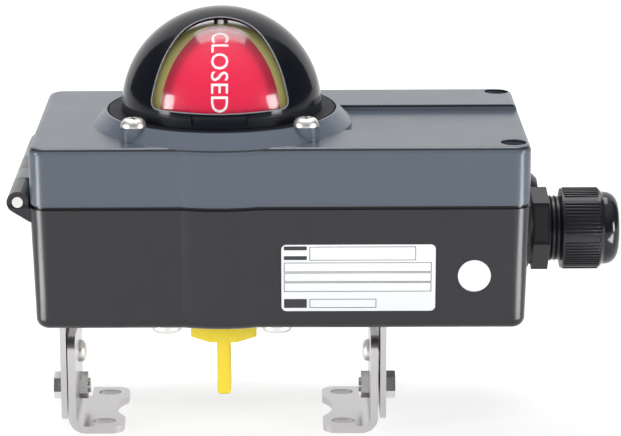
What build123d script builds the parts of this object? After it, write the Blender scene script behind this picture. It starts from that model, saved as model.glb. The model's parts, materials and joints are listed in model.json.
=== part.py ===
from build123d import *
import math
import os

# Valve limit switch box with a position indicator dome, a 5/2-way pilot valve inside and a
# slotted foot bracket for a quarter-turn actuator.
#
# Frame: the shaft axis is Z, the feet stand on z = 0 and the origin is the centre of their
# four slots. +X points to the cable gland, +Y to the air ports, +Z to the dome. Millimetres.

# ------------------------------------------------------------------ Sizes: actuator interface

slot_spacing_x = 80.0        # standard 80 x 30 foot pattern for quarter-turn actuators
slot_spacing_y = 30.0
slot_width = 5.6             # clears an M5 screw
slot_length = 7.6            # end to end

# ------------------------------------------------------------------ Sizes: housing and lid

box_bottom = 42.0            # height of the housing's underside above the soles
base_height = 41.8           # underside to parting plane
lid_height = 18.6            # parting plane to lid top
box_length = 160.0
box_depth = 88.4
box_left = 60.9              # shaft axis to left wall
box_front = 41.2             # shaft axis to front wall
corner_radius = 5.5
wall = 5.0
floor_thickness = 5.0
lid_thickness = 3.4
base_draft = 1.8             # degrees
base_edge_radius = 3.5
lid_edge_radius = 2.0
bulge_radius = 43.0          # round swelling of the front wall under the dome
rim_inset = 0.9              # the rim stands back from the walls as a shadow line
rim_height = 1.0             # rim above the base's shoulder
lip_drop = 0.5               # lid's inner lip below its outer edge
lip_inset = 0.45
seal_width = 2.2
seal_inset = 1.8
seal_depth = 2.0
fit_gap = 0.1                # general gap between pieces that are fastened together

# lid screws, captive, at the two right-hand corners
lid_screw_inset_x = 5.4
lid_screw_inset_rear = 5.3
lid_screw_inset_front = 7.6
lid_screw_radius = 2.5       # M5
lid_screw_head_radius = 3.9
lid_screw_head_height = 4.5
lid_screw_seat = 4.7         # lid thickness under the head, above the parting plane
lid_screw_engagement = 6.3   # shank inside the base
lid_screw_gap = 0.22         # radial, lets the lid swing about its hinge
corner_pad_radius = 9.4

# ------------------------------------------------------------------ Sizes: dome and indicator

dome_radius = 33.0           # outside of the hood
dome_rise = 0.5              # sphere centre above the boss top
boss_height = 4.4            # conical boss on the lid
boss_margin = 0.7            # boss top beyond the hood flange
boss_flank = 4.4             # boss foot beyond its top
hood_flange_width = 4.3      # beyond the dome
hood_flange_thickness = 2.2
hood_wall = 1.5
hood_gap = 0.5               # radial, flange to its recess
recess_depth = 4.3
channel_depth = 1.9          # shallow channel across the lid, right of the dome
channel_front = 15.5
channel_rear = 21.5
window_half_angle = 43.0     # degrees each side of the front
window_sill_angle = 7.6      # elevations seen from the sphere centre
window_shoulder_angle = 50.0
window_head_angle = 72.7
window_corner = 4.0
window_shoulder_radius = 9.0
hood_panel_width = 18.0      # sunk panel in the hood's foot, front and rear
hood_panel_height = 2.8
hood_panel_rise = 1.2
hood_panel_depth = 0.6
clear_wall = 1.1
clear_gap = 0.1
clear_flange_width = 2.0     # beyond the dome
clear_flange_thickness = 1.9
dome_seal_inset = 1.8        # seal axis inside the clear flange
dome_seal_section = 0.9
lid_opening_inset = 1.4      # inside the dome
hood_screw_offset = 6.17      # screw axes beyond the dome, on the diagonals
hood_screw_radius = 2.0      # M4 pan head
hood_screw_head_radius = 4.1
hood_screw_head_height = 2.6
hood_screw_length = 9.0
hood_lug_radius = 4.4
indicator_gap = 2.9          # indicator to clear cover
indicator_wall = 2.0
indicator_skirt = 2.4        # straight skirt below the sphere centre
indicator_hub_radius = 6.5
segment_thickness = 0.9
segment_gap = 0.05
segment_end_gap = 0.2        # degrees
segment_hole = 4.0
indicator_screw_radius = 1.5
indicator_screw_head = 2.0

# ------------------------------------------------------------------ Sizes: shaft and coupling

shaft_radius = 6.0
bush_wall = 2.5
bush_flange = 2.5
bush_flange_thickness = 1.5
running_gap = 0.05           # radial clearance of everything that turns
shaft_boss_wall = 2.5
shaft_boss_drop = 3.5        # boss below the housing's underside
shaft_boss_rise = 4.0        # boss above the housing's floor
upper_shaft_radius = 5.0
shaft_tang_width = 5.0
shaft_tang_length = 8.0
coupling_flats = 22.0        # octagon across flats
coupling_height = 8.2
coupling_gap = 1.6           # octagon below the shaft boss, leaves room for the ring
blade_thickness = 4.5
blade_width = 12.0
blade_length = 20.1
shaft_socket_depth = 6.0
shaft_square = 8.0
ring_thickness = 1.0
ring_depth = 0.9
o_ring_section = 0.9         # shaft seal, radius of its cord
cam_radius = 17.0
cam_thickness = 6.0
cam_hub_radius = 9.0
cam_pitch = 9.0              # lower to upper cam
cam_bottom = 22.0            # above the housing floor
cam_flag_angle = 40.0        # degrees
flag_thickness = 1.0

# ------------------------------------------------------------------ Sizes: hinge

hinge_drop = 0.5             # axis above the parting plane
hinge_offset = 3.8           # axis outside the left wall
knuckle_radius = 3.5
hinge_pin_radius = 2.05
hinge_length = 82.0
hinge_arm_length = 14.0
hinge_arm_spacing = 30.4
knuckle_gap = 0.6
knuckle_web_drop = 4.5

# ------------------------------------------------------------------ Sizes: brackets and feet

bracket_sheet = 2.0
foot_sheet = 2.5
bend_radius = 3.0            # inside radius
leg_face = 54.25             # outer face of the bracket legs from the shaft axis
leg_half_width = 16.0
leg_clearance = 2.4          # leg end above the sole plane
flange_gap = 0.5             # bracket flange to shaft boss
flange_half_width = 30.5
box_screw_spacing_x = 36.0
box_screw_spacing_y = 49.0
box_screw_radius = 3.0       # M6 socket head
box_screw_depth = 9.0
box_boss_wall = 3.0          # round the bracket screws
box_boss_roof = 2.5          # over the end of the screw holes
foot_front = 20.8
foot_leg_rear = 11.0
foot_leg_top = 33.0
foot_inner = 33.2            # free end of the sole from the shaft axis
foot_notch = 3.6             # depth of the round notch in the free end
foot_notch_radius = 17.0
foot_corner = 4.5
foot_washer_thickness = 0.8
foot_washer_radius = 5.0
foot_bolt_height = 10.2
foot_bolt_radius = 2.5       # M5 hexagon head
foot_bolt_flats = 8.0
foot_bolt_head = 3.5
foot_nut_thickness = 2.7
foot_button_height = 22.4
foot_button_radius = 2.0     # M4 button head
foot_button_head_radius = 3.8
foot_button_head = 2.2
screw_gap = 0.25             # radial clearance of a screw in a plain hole

# ------------------------------------------------------------------ Sizes: cable gland

gland_drop = 19.7            # gland axis below the parting plane
gland_pad_thickness = 2.6
entry_boss_radius = 13.0     # round flat under the gland and the plug
entry_spacing = 28.0         # gland axis to plug axis
gland_thread_radius = 10.0   # M20
gland_thread_length = 9.5
gland_gasket = 1.1
gland_hex_flats = 24.0
gland_hex_length = 5.5
gland_hex_turn = 8.5         # degrees, as screwed home
gland_neck_radius = 10.6
gland_neck_length = 10.0
gland_nut_gap = 4.4          # thread left bare between hexagon and cap nut
gland_nut_radius = 13.3
gland_nut_length = 13.8
gland_cap_radius = 12.1
gland_cap_length = 5.2
gland_bore_radius = 6.2
gland_insert_wall = 2.0
plug_head_radius = 12.6
plug_head_thickness = 5.4
plug_head_edge = 2.6
plug_slot = 3.0

# ------------------------------------------------------------------ Sizes: valve and air ports

port_radius = 4.86           # G1/8 thread
port_pitch = 15.0
port_row_rise = 16.0
port_first_rise = 6.5        # lower row above the floor
port_pad = 4.0               # inner thickening of the rear wall
port_flat_margin = 7.5       # flat outer face beyond the port centres
valve_gasket_thickness = 1.0
valve_depth = 20.0
valve_height = 29.0
valve_margin = 6.5           # block beyond the outer ports
valve_corner = 1.5
valve_gasket_corner = 3.0
valve_gasket_inset = 0.5
valve_duct_radius = 3.0
valve_screw_radius = 2.0     # M4 socket head
valve_screw_head_radius = 3.5
valve_screw_head = 4.0
valve_screw_length = 26.0
valve_screw_inset = 4.0
valve_screw_socket = 3.0     # across flats
valve_cap_radius = 7.0
valve_cap_thickness = 2.5
valve_cap_slot = 1.2
valve_cap_slot_depth = 1.0
pilot_width = 20.0
pilot_height = 7.0
coil_length = 22.0
coil_width = 16.0
coil_height = 12.0
plug_height = 4.0
button_radius = 2.5
button_rise = 1.8
button_stroke = 1.5
button_collar_radius = 4.5

# ------------------------------------------------------------------ Sizes: sensors and board

sensor_length = 26.0
sensor_width = 14.0
sensor_height = 7.0
sensor_gap = 1.5             # sensing face to cam flag
sensor_bracket_sheet = 2.0
sensor_screw_radius = 1.5    # M3
sensor_screw_spacing = 16.0
sensor_screw_depth = 3.0     # bracket screws into the floor
bracket_foot_width = 12.0
bracket_hole_inset = 4.0
board_thickness = 1.6
board_length = 58.0
board_width = 28.0
board_clearance = 0.5        # under the board, over the screw bosses
board_corner = 1.0
board_hole_inset = 3.0
board_hole_radius = 1.5
board_pillar_radius = 2.8
board_pilot_radius = 1.3
board_screw_radius = 1.25
board_screw_head_radius = 2.4
board_screw_head = 1.6
board_inset_right = 10.5     # board edge to the inside of the wall, clears the corner pad
board_inset_front = 4.0
terminal_count = 8
terminal_pitch = 6.0
terminal_depth = 12.0
terminal_height = 13.0
terminal_inset = 5.0         # block from the board's front edge
terminal_screw_radius = 1.9
terminal_screw_gap = 0.1
terminal_screw_head = 3.0
terminal_slot = 0.6
terminal_slot_depth = 0.8

# ------------------------------------------------------------------ Derived places

box_right = box_length - box_left
box_rear = box_depth - box_front
box_centre_x = (box_right - box_left) / 2
box_centre_y = (box_rear - box_front) / 2
floor_top = box_bottom + floor_thickness
parting = box_bottom + base_height
lid_top = parting + lid_height
rim_top = parting - lip_drop
shoulder = rim_top - rim_height
draft_inset = (shoulder - box_bottom) * math.tan(math.radians(base_draft))
lid_roof = lid_top - lid_thickness
boss_top = lid_top + boss_height
recess_floor = boss_top - recess_depth
sphere_z = boss_top + dome_rise
hood_flange_radius = dome_radius + hood_flange_width
boss_top_radius = hood_flange_radius + hood_gap + boss_margin
boss_foot_radius = boss_top_radius + boss_flank
clear_flange_radius = dome_radius + clear_flange_width
dome_seal_radius = clear_flange_radius - dome_seal_inset
lid_opening_radius = dome_radius - lid_opening_inset
hood_screw_spacing = math.sqrt(2) * (dome_radius + hood_screw_offset)
hood_inner = dome_radius - hood_wall
clear_outer = hood_inner - clear_gap
clear_inner = clear_outer - clear_wall
indicator_radius = clear_inner - indicator_gap
lid_screws = [
    (box_right - lid_screw_inset_x, box_rear - lid_screw_inset_rear),
    (box_right - lid_screw_inset_x, -box_front + lid_screw_inset_front),
]
screw_seat_z = parting + lid_screw_seat
hood_screws = [
    (sx * hood_screw_spacing / 2, sy * hood_screw_spacing / 2) for sx in (-1, 1) for sy in (-1, 1)
]

hinge_x = -box_left - hinge_offset
hinge_z = parting + hinge_drop
gland_z = parting - gland_drop
gland_face = box_right + gland_pad_thickness
plug_y = box_centre_y + entry_spacing
shaft_boss_radius = shaft_radius + bush_wall + shaft_boss_wall
boss_under = box_bottom - shaft_boss_drop
boss_over = floor_top + shaft_boss_rise
coupling_top = boss_under - coupling_gap
coupling_bottom = coupling_top - coupling_height
box_boss_radius = box_screw_radius + box_boss_wall
box_boss_top = box_bottom + box_screw_depth + box_boss_roof
# the valve stands midway between the screw boss and the corner pad
boss_right = box_screw_spacing_x / 2 + box_boss_radius
pad_left = box_right - lid_screw_inset_x - corner_pad_radius
valve_x = (boss_right + pad_left) / 2
port_low_z = floor_top + port_first_rise
ports = [(valve_x + i * port_pitch, port_low_z) for i in (-1, 0, 1)]
ports += [(valve_x + i * port_pitch, port_low_z + port_row_rise) for i in (-0.5, 0.5)]
valve_length = 2 * (port_pitch + valve_margin)
pad_face = box_rear - wall - port_pad
valve_rear = pad_face - valve_gasket_thickness
valve_front = valve_rear - valve_depth
valve_bottom = floor_top + fit_gap
valve_mid_z = valve_bottom + valve_height / 2
valve_top = valve_bottom + valve_height
valve_screws = [
    (valve_x + sx * (valve_length / 2 - valve_screw_inset), valve_top - valve_screw_inset)
    for sx in (-1, 1)
]
valve_screws += [
    (valve_x + sx * port_pitch / 2, valve_bottom + valve_screw_inset) for sx in (-1, 1)
]
sensor_face = -(cam_radius + flag_thickness + sensor_gap)
sensor_mid_x = sensor_face - sensor_length / 2
plate_y = sensor_width / 2
screw_xs = (sensor_mid_x - sensor_screw_spacing / 2, sensor_mid_x + sensor_screw_spacing / 2)
bracket_holes = [(x, plate_y + bracket_foot_width - bracket_hole_inset) for x in screw_xs]
board_x = box_right - wall - board_inset_right - board_length / 2
board_y = -box_front + wall + board_inset_front + board_width / 2
board_bottom = box_boss_top + board_clearance
board_standoff = board_bottom - floor_top
board_hole_x = board_length - 2 * board_hole_inset
board_hole_y = board_width - 2 * board_hole_inset
board_top = board_bottom + board_thickness

os.makedirs("parts", exist_ok=True)


# ------------------------------------------------------------------ Shared outlines


def housing_outline(inset):
    """Plan of the walls moved inwards by inset: a rounded rectangle and the front swelling."""
    with BuildSketch() as outline:
        with Locations((box_centre_x, box_centre_y)):
            RectangleRounded(
                box_length - 2 * inset, box_depth - 2 * inset, max(corner_radius - inset, 1.0)
            )
        Circle(bulge_radius - inset)
    return outline.sketch


def cornered_outline(inset, corner):
    """The same plan with a round corner cut out about each lid screw."""
    with BuildSketch() as outline:
        add(housing_outline(inset))
        with Locations(*lid_screws):
            Circle(corner, mode=Mode.SUBTRACT)
    return outline.sketch


def seal_outline(gap):
    """Closed band that the lid seal follows, narrowed by gap on both sides."""
    passing = lid_screw_radius + lid_screw_gap + seal_width
    with BuildSketch() as band:
        add(cornered_outline(seal_inset + gap, passing + gap))
        add(
            cornered_outline(seal_inset + seal_width - gap, passing + seal_width - gap),
            mode=Mode.SUBTRACT,
        )
    return band.sketch


def knuckle_outline():
    """Side view of a housing knuckle, drawn out to the wall below the parting plane."""
    with BuildSketch() as outline:
        with Locations((hinge_x, hinge_z)):
            Circle(knuckle_radius)
        with Locations((-box_left + wall / 4, shoulder - knuckle_web_drop / 2)):
            Rectangle(wall / 2, knuckle_web_drop)
        make_hull()
        with Locations((-box_left - knuckle_gap / 2, shoulder)):
            Rectangle(wall, 2 * wall, align=(Align.MIN, Align.MIN), mode=Mode.SUBTRACT)
    return outline.sketch


def hinge_arm_outline():
    """Side view of a lid arm: a ring with a flat top that runs into the lid's wall."""
    with BuildSketch() as outline:
        with Locations((hinge_x, hinge_z)):
            Circle(knuckle_radius)
        with Locations((hinge_x, hinge_z)):
            Rectangle(hinge_offset + wall / 2, knuckle_radius, align=(Align.MIN, Align.MIN))
    return outline.sketch


def hinge_segments():
    """Spans along Y of the housing's three knuckles."""
    low = box_centre_y - hinge_length / 2
    high = box_centre_y + hinge_length / 2
    reach = hinge_arm_length / 2 + knuckle_gap
    arms = [box_centre_y - hinge_arm_spacing / 2, box_centre_y + hinge_arm_spacing / 2]
    return [(low, arms[0] - reach), (arms[0] + reach, arms[1] - reach), (arms[1] + reach, high)]


# ------------------------------------------------------------------ Housing

with BuildPart() as base_housing:
    # drafted outer body with a rounded underside, then the rim that the lid sits on
    with BuildSketch(Plane.XY.offset(box_bottom)):
        add(housing_outline(draft_inset))
    with BuildSketch(Plane.XY.offset(shoulder)):
        add(housing_outline(0))
    loft(ruled=True)
    fillet(base_housing.faces().sort_by(Axis.Z)[0].edges(), base_edge_radius)
    with BuildSketch(Plane.XY.offset(shoulder)):
        add(housing_outline(rim_inset))
    extrude(amount=rim_height)

    # round flats that the cable gland and the blind plug are screwed into
    with BuildSketch(Plane.YZ.offset(gland_face)):
        with Locations((box_centre_y, gland_z), (plug_y, gland_z)):
            Circle(entry_boss_radius)
    extrude(amount=-(gland_pad_thickness + wall / 2))

    # hinge knuckles
    for start, end in hinge_segments():
        with BuildSketch(Plane.XZ.offset(-end)):
            add(knuckle_outline())
        extrude(amount=end - start)

    # hollow, with solid corner pads for the lid screws
    with BuildSketch(Plane.XY.offset(rim_top)):
        add(cornered_outline(wall, corner_pad_radius))
    extrude(amount=-(rim_top - floor_top), mode=Mode.SUBTRACT)

    # bearing boss for the shaft, and bosses over the bracket screws
    with BuildSketch(Plane.XY.offset(boss_under)):
        Circle(shaft_boss_radius)
    extrude(amount=boss_over - boss_under)
    with BuildSketch(Plane.XY.offset(floor_top - 1)):
        with GridLocations(box_screw_spacing_x, box_screw_spacing_y, 2, 2):
            Circle(box_boss_radius)
    extrude(amount=box_boss_top - floor_top + 1)

    # thickened rear wall behind the valve
    with BuildSketch(Plane.XZ.offset(-pad_face)):
        with Locations((valve_x, valve_mid_z)):
            Rectangle(valve_length + 2, valve_height + 2 * fit_gap)
    extrude(amount=-(port_pad + wall / 2))

    # flat outer face round the ports, free of draft
    with BuildSketch(Plane.XZ.offset(-box_rear)):
        with Locations((valve_x, port_low_z + port_row_rise / 2)):
            RectangleRounded(
                2 * (port_pitch + port_flat_margin),
                port_row_rise + 2 * port_flat_margin,
                port_flat_margin / 2,
            )
    extrude(amount=wall / 2)

    # pillars under the circuit board
    with BuildSketch(Plane.XY.offset(floor_top - 1)):
        with Locations((board_x, board_y)):
            with GridLocations(board_hole_x, board_hole_y, 2, 2):
                Circle(board_pillar_radius)
    extrude(amount=board_standoff + 1)

    # bush bore, screw holes, air ports, cable entry and hinge bore
    with BuildSketch(Plane.XY.offset(boss_under)):
        Circle(shaft_radius + bush_wall)
    extrude(amount=boss_over - boss_under, mode=Mode.SUBTRACT)
    with BuildSketch(Plane.XY.offset(box_bottom)):
        with GridLocations(box_screw_spacing_x, box_screw_spacing_y, 2, 2):
            Circle(box_screw_radius + running_gap)
    extrude(amount=box_screw_depth, mode=Mode.SUBTRACT)
    with BuildSketch(Plane.XZ.offset(-pad_face)):
        with Locations(*ports):
            Circle(port_radius)
    extrude(amount=-(port_pad + 2 * wall), mode=Mode.SUBTRACT)
    with BuildSketch(Plane.XZ.offset(-pad_face)):
        with Locations(*valve_screws):
            Circle(valve_screw_radius + running_gap)
    extrude(amount=-(port_pad + wall / 2), mode=Mode.SUBTRACT)
    with BuildSketch(Plane.YZ.offset(gland_face)):
        with Locations((box_centre_y, gland_z), (plug_y, gland_z)):
            Circle(gland_thread_radius + running_gap)
    extrude(amount=-(gland_pad_thickness + wall), mode=Mode.SUBTRACT)
    with BuildSketch(Plane.XY.offset(rim_top)):
        with Locations(*lid_screws):
            Circle(lid_screw_radius + lid_screw_gap)
    extrude(amount=-(lid_screw_engagement + 2), mode=Mode.SUBTRACT)
    with BuildSketch(Plane.XY.offset(board_bottom)):
        with Locations((board_x, board_y)):
            with GridLocations(board_hole_x, board_hole_y, 2, 2):
                Circle(board_pilot_radius)
    extrude(amount=-board_standoff, mode=Mode.SUBTRACT)
    with BuildSketch(Plane.XY.offset(floor_top)):
        with Locations(*bracket_holes):
            Circle(sensor_screw_radius + running_gap)
    extrude(amount=-(sensor_screw_depth + 0.5), mode=Mode.SUBTRACT)
    with BuildSketch(Plane.XZ.offset(hinge_length)):
        with Locations((hinge_x, hinge_z)):
            Circle(hinge_pin_radius + running_gap)
    extrude(amount=-3 * hinge_length, mode=Mode.SUBTRACT)
base_housing.part.label = "base_housing"
export_step(base_housing.part, "parts/base_housing.step")

with BuildPart() as hinge_pin:
    with BuildSketch(Plane.XZ.offset(-(box_centre_y + hinge_length / 2))):
        with Locations((hinge_x, hinge_z)):
            Circle(hinge_pin_radius)
    extrude(amount=hinge_length)
    chamfer(hinge_pin.edges(), 0.3)
hinge_pin.part.label = "hinge_pin"
export_step(hinge_pin.part, "parts/hinge_pin.step")

# ------------------------------------------------------------------ Lid

with BuildPart() as lid:
    with BuildSketch(Plane.XY.offset(parting)):
        add(housing_outline(0))
    extrude(amount=lid_height)
    fillet(lid.faces().sort_by(Axis.Z)[-1].edges(), lid_edge_radius)
    with BuildSketch(Plane.XY.offset(rim_top)):
        add(housing_outline(lip_inset))
    extrude(amount=lip_drop)

    # shallow channel from the dome to the right-hand end
    with BuildSketch(Plane.XY.offset(lid_top)):
        with Locations((0, -channel_front)):
            Rectangle(box_right, channel_front + channel_rear, align=(Align.MIN, Align.MIN))
    extrude(amount=-channel_depth, mode=Mode.SUBTRACT)

    # conical boss under the dome, and a lug for each hood screw
    with BuildSketch(Plane.XZ):
        with BuildLine():
            Polyline(
                (0, lid_top - channel_depth),
                (boss_foot_radius, lid_top - channel_depth),
                (boss_foot_radius, lid_top),
                (boss_top_radius, boss_top),
                (0, boss_top),
                close=True,
            )
        make_face()
    revolve(axis=Axis.Z)
    with BuildSketch(Plane.XY.offset(lid_top - channel_depth)):
        with Locations(*hood_screws):
            Circle(hood_lug_radius)
    extrude(amount=boss_top - lid_top + channel_depth)

    # hinge arms
    for side in (-1, 1):
        arm_end = box_centre_y + side * hinge_arm_spacing / 2 + hinge_arm_length / 2
        with BuildSketch(Plane.XZ.offset(-arm_end)):
            add(hinge_arm_outline())
        extrude(amount=hinge_arm_length)

    # hollow with solid corners, and pillars for the hood screws
    with BuildSketch(Plane.XY.offset(rim_top)):
        add(cornered_outline(wall, corner_pad_radius))
    extrude(amount=lid_roof - rim_top, mode=Mode.SUBTRACT)
    with BuildSketch(Plane.XY.offset(boss_top - hood_screw_length - 1.5)):
        with Locations(*hood_screws):
            Circle(2 * hood_screw_radius)
    extrude(amount=hood_screw_length + 1)

    # recess for the dome flanges and the opening under the dome
    with BuildSketch(Plane.XY.offset(recess_floor)):
        Circle(hood_flange_radius + hood_gap)
    extrude(amount=recess_depth, mode=Mode.SUBTRACT)
    with BuildSketch(Plane.XY.offset(rim_top)):
        Circle(lid_opening_radius)
    extrude(amount=boss_top - rim_top, mode=Mode.SUBTRACT)
    with BuildSketch(Plane.XZ):
        with Locations((dome_seal_radius, recess_floor)):
            Rectangle(2.2 * dome_seal_section, 4 * dome_seal_section + 2 * fit_gap)
    revolve(axis=Axis.Z, mode=Mode.SUBTRACT)

    # seal groove, screw holes and hinge bore
    with BuildSketch(Plane.XY.offset(rim_top)):
        add(seal_outline(0))
    extrude(amount=seal_depth, mode=Mode.SUBTRACT)
    with BuildSketch(Plane.XY.offset(rim_top)):
        with Locations(*lid_screws):
            Circle(lid_screw_radius + lid_screw_gap)
    extrude(amount=lid_height + lip_drop, mode=Mode.SUBTRACT)
    with BuildSketch(Plane.XY.offset(screw_seat_z)):
        with Locations(*lid_screws):
            Circle(lid_screw_head_radius + lid_screw_gap)
    extrude(amount=lid_top - screw_seat_z, mode=Mode.SUBTRACT)
    with BuildSketch(Plane.XY.offset(boss_top)):
        with Locations(*hood_screws):
            Circle(hood_screw_radius + running_gap)
    extrude(amount=-hood_screw_length, mode=Mode.SUBTRACT)
    with BuildSketch(Plane.XZ.offset(hinge_length)):
        with Locations((hinge_x, hinge_z)):
            Circle(hinge_pin_radius + running_gap)
    extrude(amount=-3 * hinge_length, mode=Mode.SUBTRACT)
lid.part.label = "lid"
export_step(lid.part, "parts/lid.step")

with BuildPart() as lid_seal:
    with BuildSketch(Plane.XY.offset(rim_top)):
        add(seal_outline(fit_gap))
    extrude(amount=seal_depth - fit_gap)
lid_seal.part.label = "lid_seal"
export_step(lid_seal.part, "parts/lid_seal.step")

# captive screws: socket heads low in the lid's corners, shanks reaching into the housing
for name, (screw_x, screw_y) in zip(("lid_screw_rear", "lid_screw_front"), lid_screws):
    with BuildPart() as lid_screw:
        with BuildSketch(Plane.XY.offset(screw_seat_z)):
            with Locations((screw_x, screw_y)):
                Circle(lid_screw_head_radius)
        extrude(amount=lid_screw_head_height)
        chamfer(lid_screw.edges().sort_by(Axis.Z)[-1], 0.4)
        with BuildSketch(Plane.XY.offset(screw_seat_z)):
            with Locations((screw_x, screw_y)):
                Circle(lid_screw_radius)
        extrude(amount=-(screw_seat_z - rim_top + lid_screw_engagement))
        with BuildSketch(Plane.XY.offset(screw_seat_z + lid_screw_head_height)):
            with Locations((screw_x, screw_y)):
                RegularPolygon(2, 6, major_radius=False)
        extrude(amount=-2.5, mode=Mode.SUBTRACT)
    lid_screw.part.label = name
    export_step(lid_screw.part, f"parts/{name}.step")

# ------------------------------------------------------------------ Dome: hood, clear cover, seal

clear_flange_top = recess_floor + clear_flange_thickness
hood_plate_under = clear_flange_top + fit_gap


def on_dome(radius, azimuth, elevation):
    """Point of a sphere about the dome's centre, in the window's own plane (see window_plane)."""
    flat = radius * math.cos(math.radians(elevation))
    height = radius * math.sin(math.radians(elevation))
    away = flat * math.cos(math.radians(azimuth))
    tilt = math.radians((window_sill_angle + window_head_angle) / 2)
    return (
        flat * math.sin(math.radians(azimuth)),
        height * math.cos(tilt) - away * math.sin(tilt),
    )


def window_plane(facing):
    """Plane through the dome's centre that faces the middle of a window; facing is -1 or 1."""
    tilt = math.radians((window_sill_angle + window_head_angle) / 2)
    return Plane(
        origin=(0, 0, sphere_z),
        x_dir=(-facing, 0, 0),
        z_dir=(0, facing * math.cos(tilt), math.sin(tilt)),
    )


def window_outline():
    """Arched window: meridians as sides, a level sill and a rounded head."""
    middle = (window_sill_angle + window_shoulder_angle) / 2
    left = [
        on_dome(dome_radius, -window_half_angle, angle)
        for angle in (window_sill_angle, middle, window_shoulder_angle)
    ]
    right = [(-x, y) for x, y in left]
    sill = on_dome(dome_radius, 0, window_sill_angle)
    head = on_dome(dome_radius, 0, window_head_angle)
    with BuildSketch() as outline:
        with BuildLine():
            ThreePointArc(left[0], sill, right[0])
            ThreePointArc(right[0], right[1], right[2])
            ThreePointArc(right[2], head, left[2])
            ThreePointArc(left[2], left[1], left[0])
        make_face()
        fillet(outline.vertices().group_by(Axis.Y)[0], window_corner)
        fillet(outline.vertices().group_by(Axis.Y)[-1], window_shoulder_radius)
    return outline.sketch


def dome_section(inner, outer, skirt):
    """Half section of a hemispherical shell with a straight skirt below its centre."""
    with BuildSketch() as section:
        with Locations((0, sphere_z)):
            Circle(outer)
            Circle(inner, mode=Mode.SUBTRACT)
            Rectangle(outer, outer, align=(Align.MIN, Align.MIN), mode=Mode.INTERSECT)
        with Locations((inner, sphere_z)):
            Rectangle(outer - inner, skirt, align=(Align.MIN, Align.MAX))
    return section.sketch


with BuildPart() as hood:
    with BuildSketch(Plane.XZ):
        add(dome_section(hood_inner, dome_radius, sphere_z - hood_plate_under))
        with Locations((hood_inner, hood_plate_under)):
            Rectangle(
                hood_flange_radius - hood_inner,
                boss_top - hood_plate_under,
                align=(Align.MIN, Align.MIN),
            )
        with Locations((hood_flange_radius, recess_floor + fit_gap)):
            Rectangle(
                hood_flange_radius - clear_flange_radius - fit_gap,
                boss_top - recess_floor - fit_gap,
                align=(Align.MAX, Align.MIN),
            )
    revolve(axis=Axis.Z)
    for facing in (-1, 1):
        with BuildSketch(window_plane(facing)):
            add(window_outline())
        extrude(amount=2 * dome_radius, mode=Mode.SUBTRACT)
    # shallow panel below each window, and scallops round the screws
    with BuildSketch(Plane.XY.offset(boss_top + hood_panel_rise)):
        Circle(dome_radius + 1)
        Circle(dome_radius - hood_panel_depth, mode=Mode.SUBTRACT)
        Rectangle(hood_panel_width, 3 * dome_radius, mode=Mode.INTERSECT)
    extrude(amount=hood_panel_height, mode=Mode.SUBTRACT)
    with BuildSketch(Plane.XY.offset(recess_floor)):
        with Locations(*hood_screws):
            Circle(hood_screw_radius + screw_gap)
    extrude(amount=recess_depth + 1, mode=Mode.SUBTRACT)
hood.part.label = "hood"
export_step(hood.part, "parts/hood.step")

with BuildPart() as clear_dome:
    with BuildSketch(Plane.XZ):
        add(dome_section(clear_inner, clear_outer, sphere_z - recess_floor))
        with Locations((clear_inner, recess_floor)):
            Rectangle(
                clear_flange_radius - clear_inner,
                clear_flange_thickness,
                align=(Align.MIN, Align.MIN),
            )
    revolve(axis=Axis.Z)
clear_dome.part.label = "clear_dome"
export_step(clear_dome.part, "parts/clear_dome.step")

with BuildPart() as dome_seal:
    with BuildSketch(Plane.XZ):
        with Locations((dome_seal_radius, recess_floor - dome_seal_section)):
            Circle(dome_seal_section)
    revolve(axis=Axis.Z)
dome_seal.part.label = "dome_seal"
export_step(dome_seal.part, "parts/dome_seal.step")

# pan-head screws whose heads lap over the hood's flange
with BuildPart() as hood_screw_set:
    with BuildSketch(Plane.XY.offset(boss_top)):
        with Locations(*hood_screws):
            Circle(hood_screw_head_radius)
    extrude(amount=hood_screw_head_height)
    fillet(hood_screw_set.edges().group_by(Axis.Z)[-1], 0.75 * hood_screw_head_height)
    with BuildSketch(Plane.XY.offset(boss_top)):
        with Locations(*hood_screws):
            Circle(hood_screw_radius)
    extrude(amount=-(hood_screw_length - 0.5))
hood_screw_set.part.label = "hood_screws"
export_step(hood_screw_set.part, "parts/hood_screws.step")

# ------------------------------------------------------------------ Shaft line

shaft_bottom = coupling_bottom + coupling_height - shaft_socket_depth
collar_bottom = boss_over + bush_flange_thickness + fit_gap
collar_height = 2.0
cam_low = floor_top + cam_bottom
hub_bottom = sphere_z - indicator_skirt - 4.0
tang_bottom = hub_bottom + 2.0
tang_top = tang_bottom + shaft_tang_length

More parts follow.
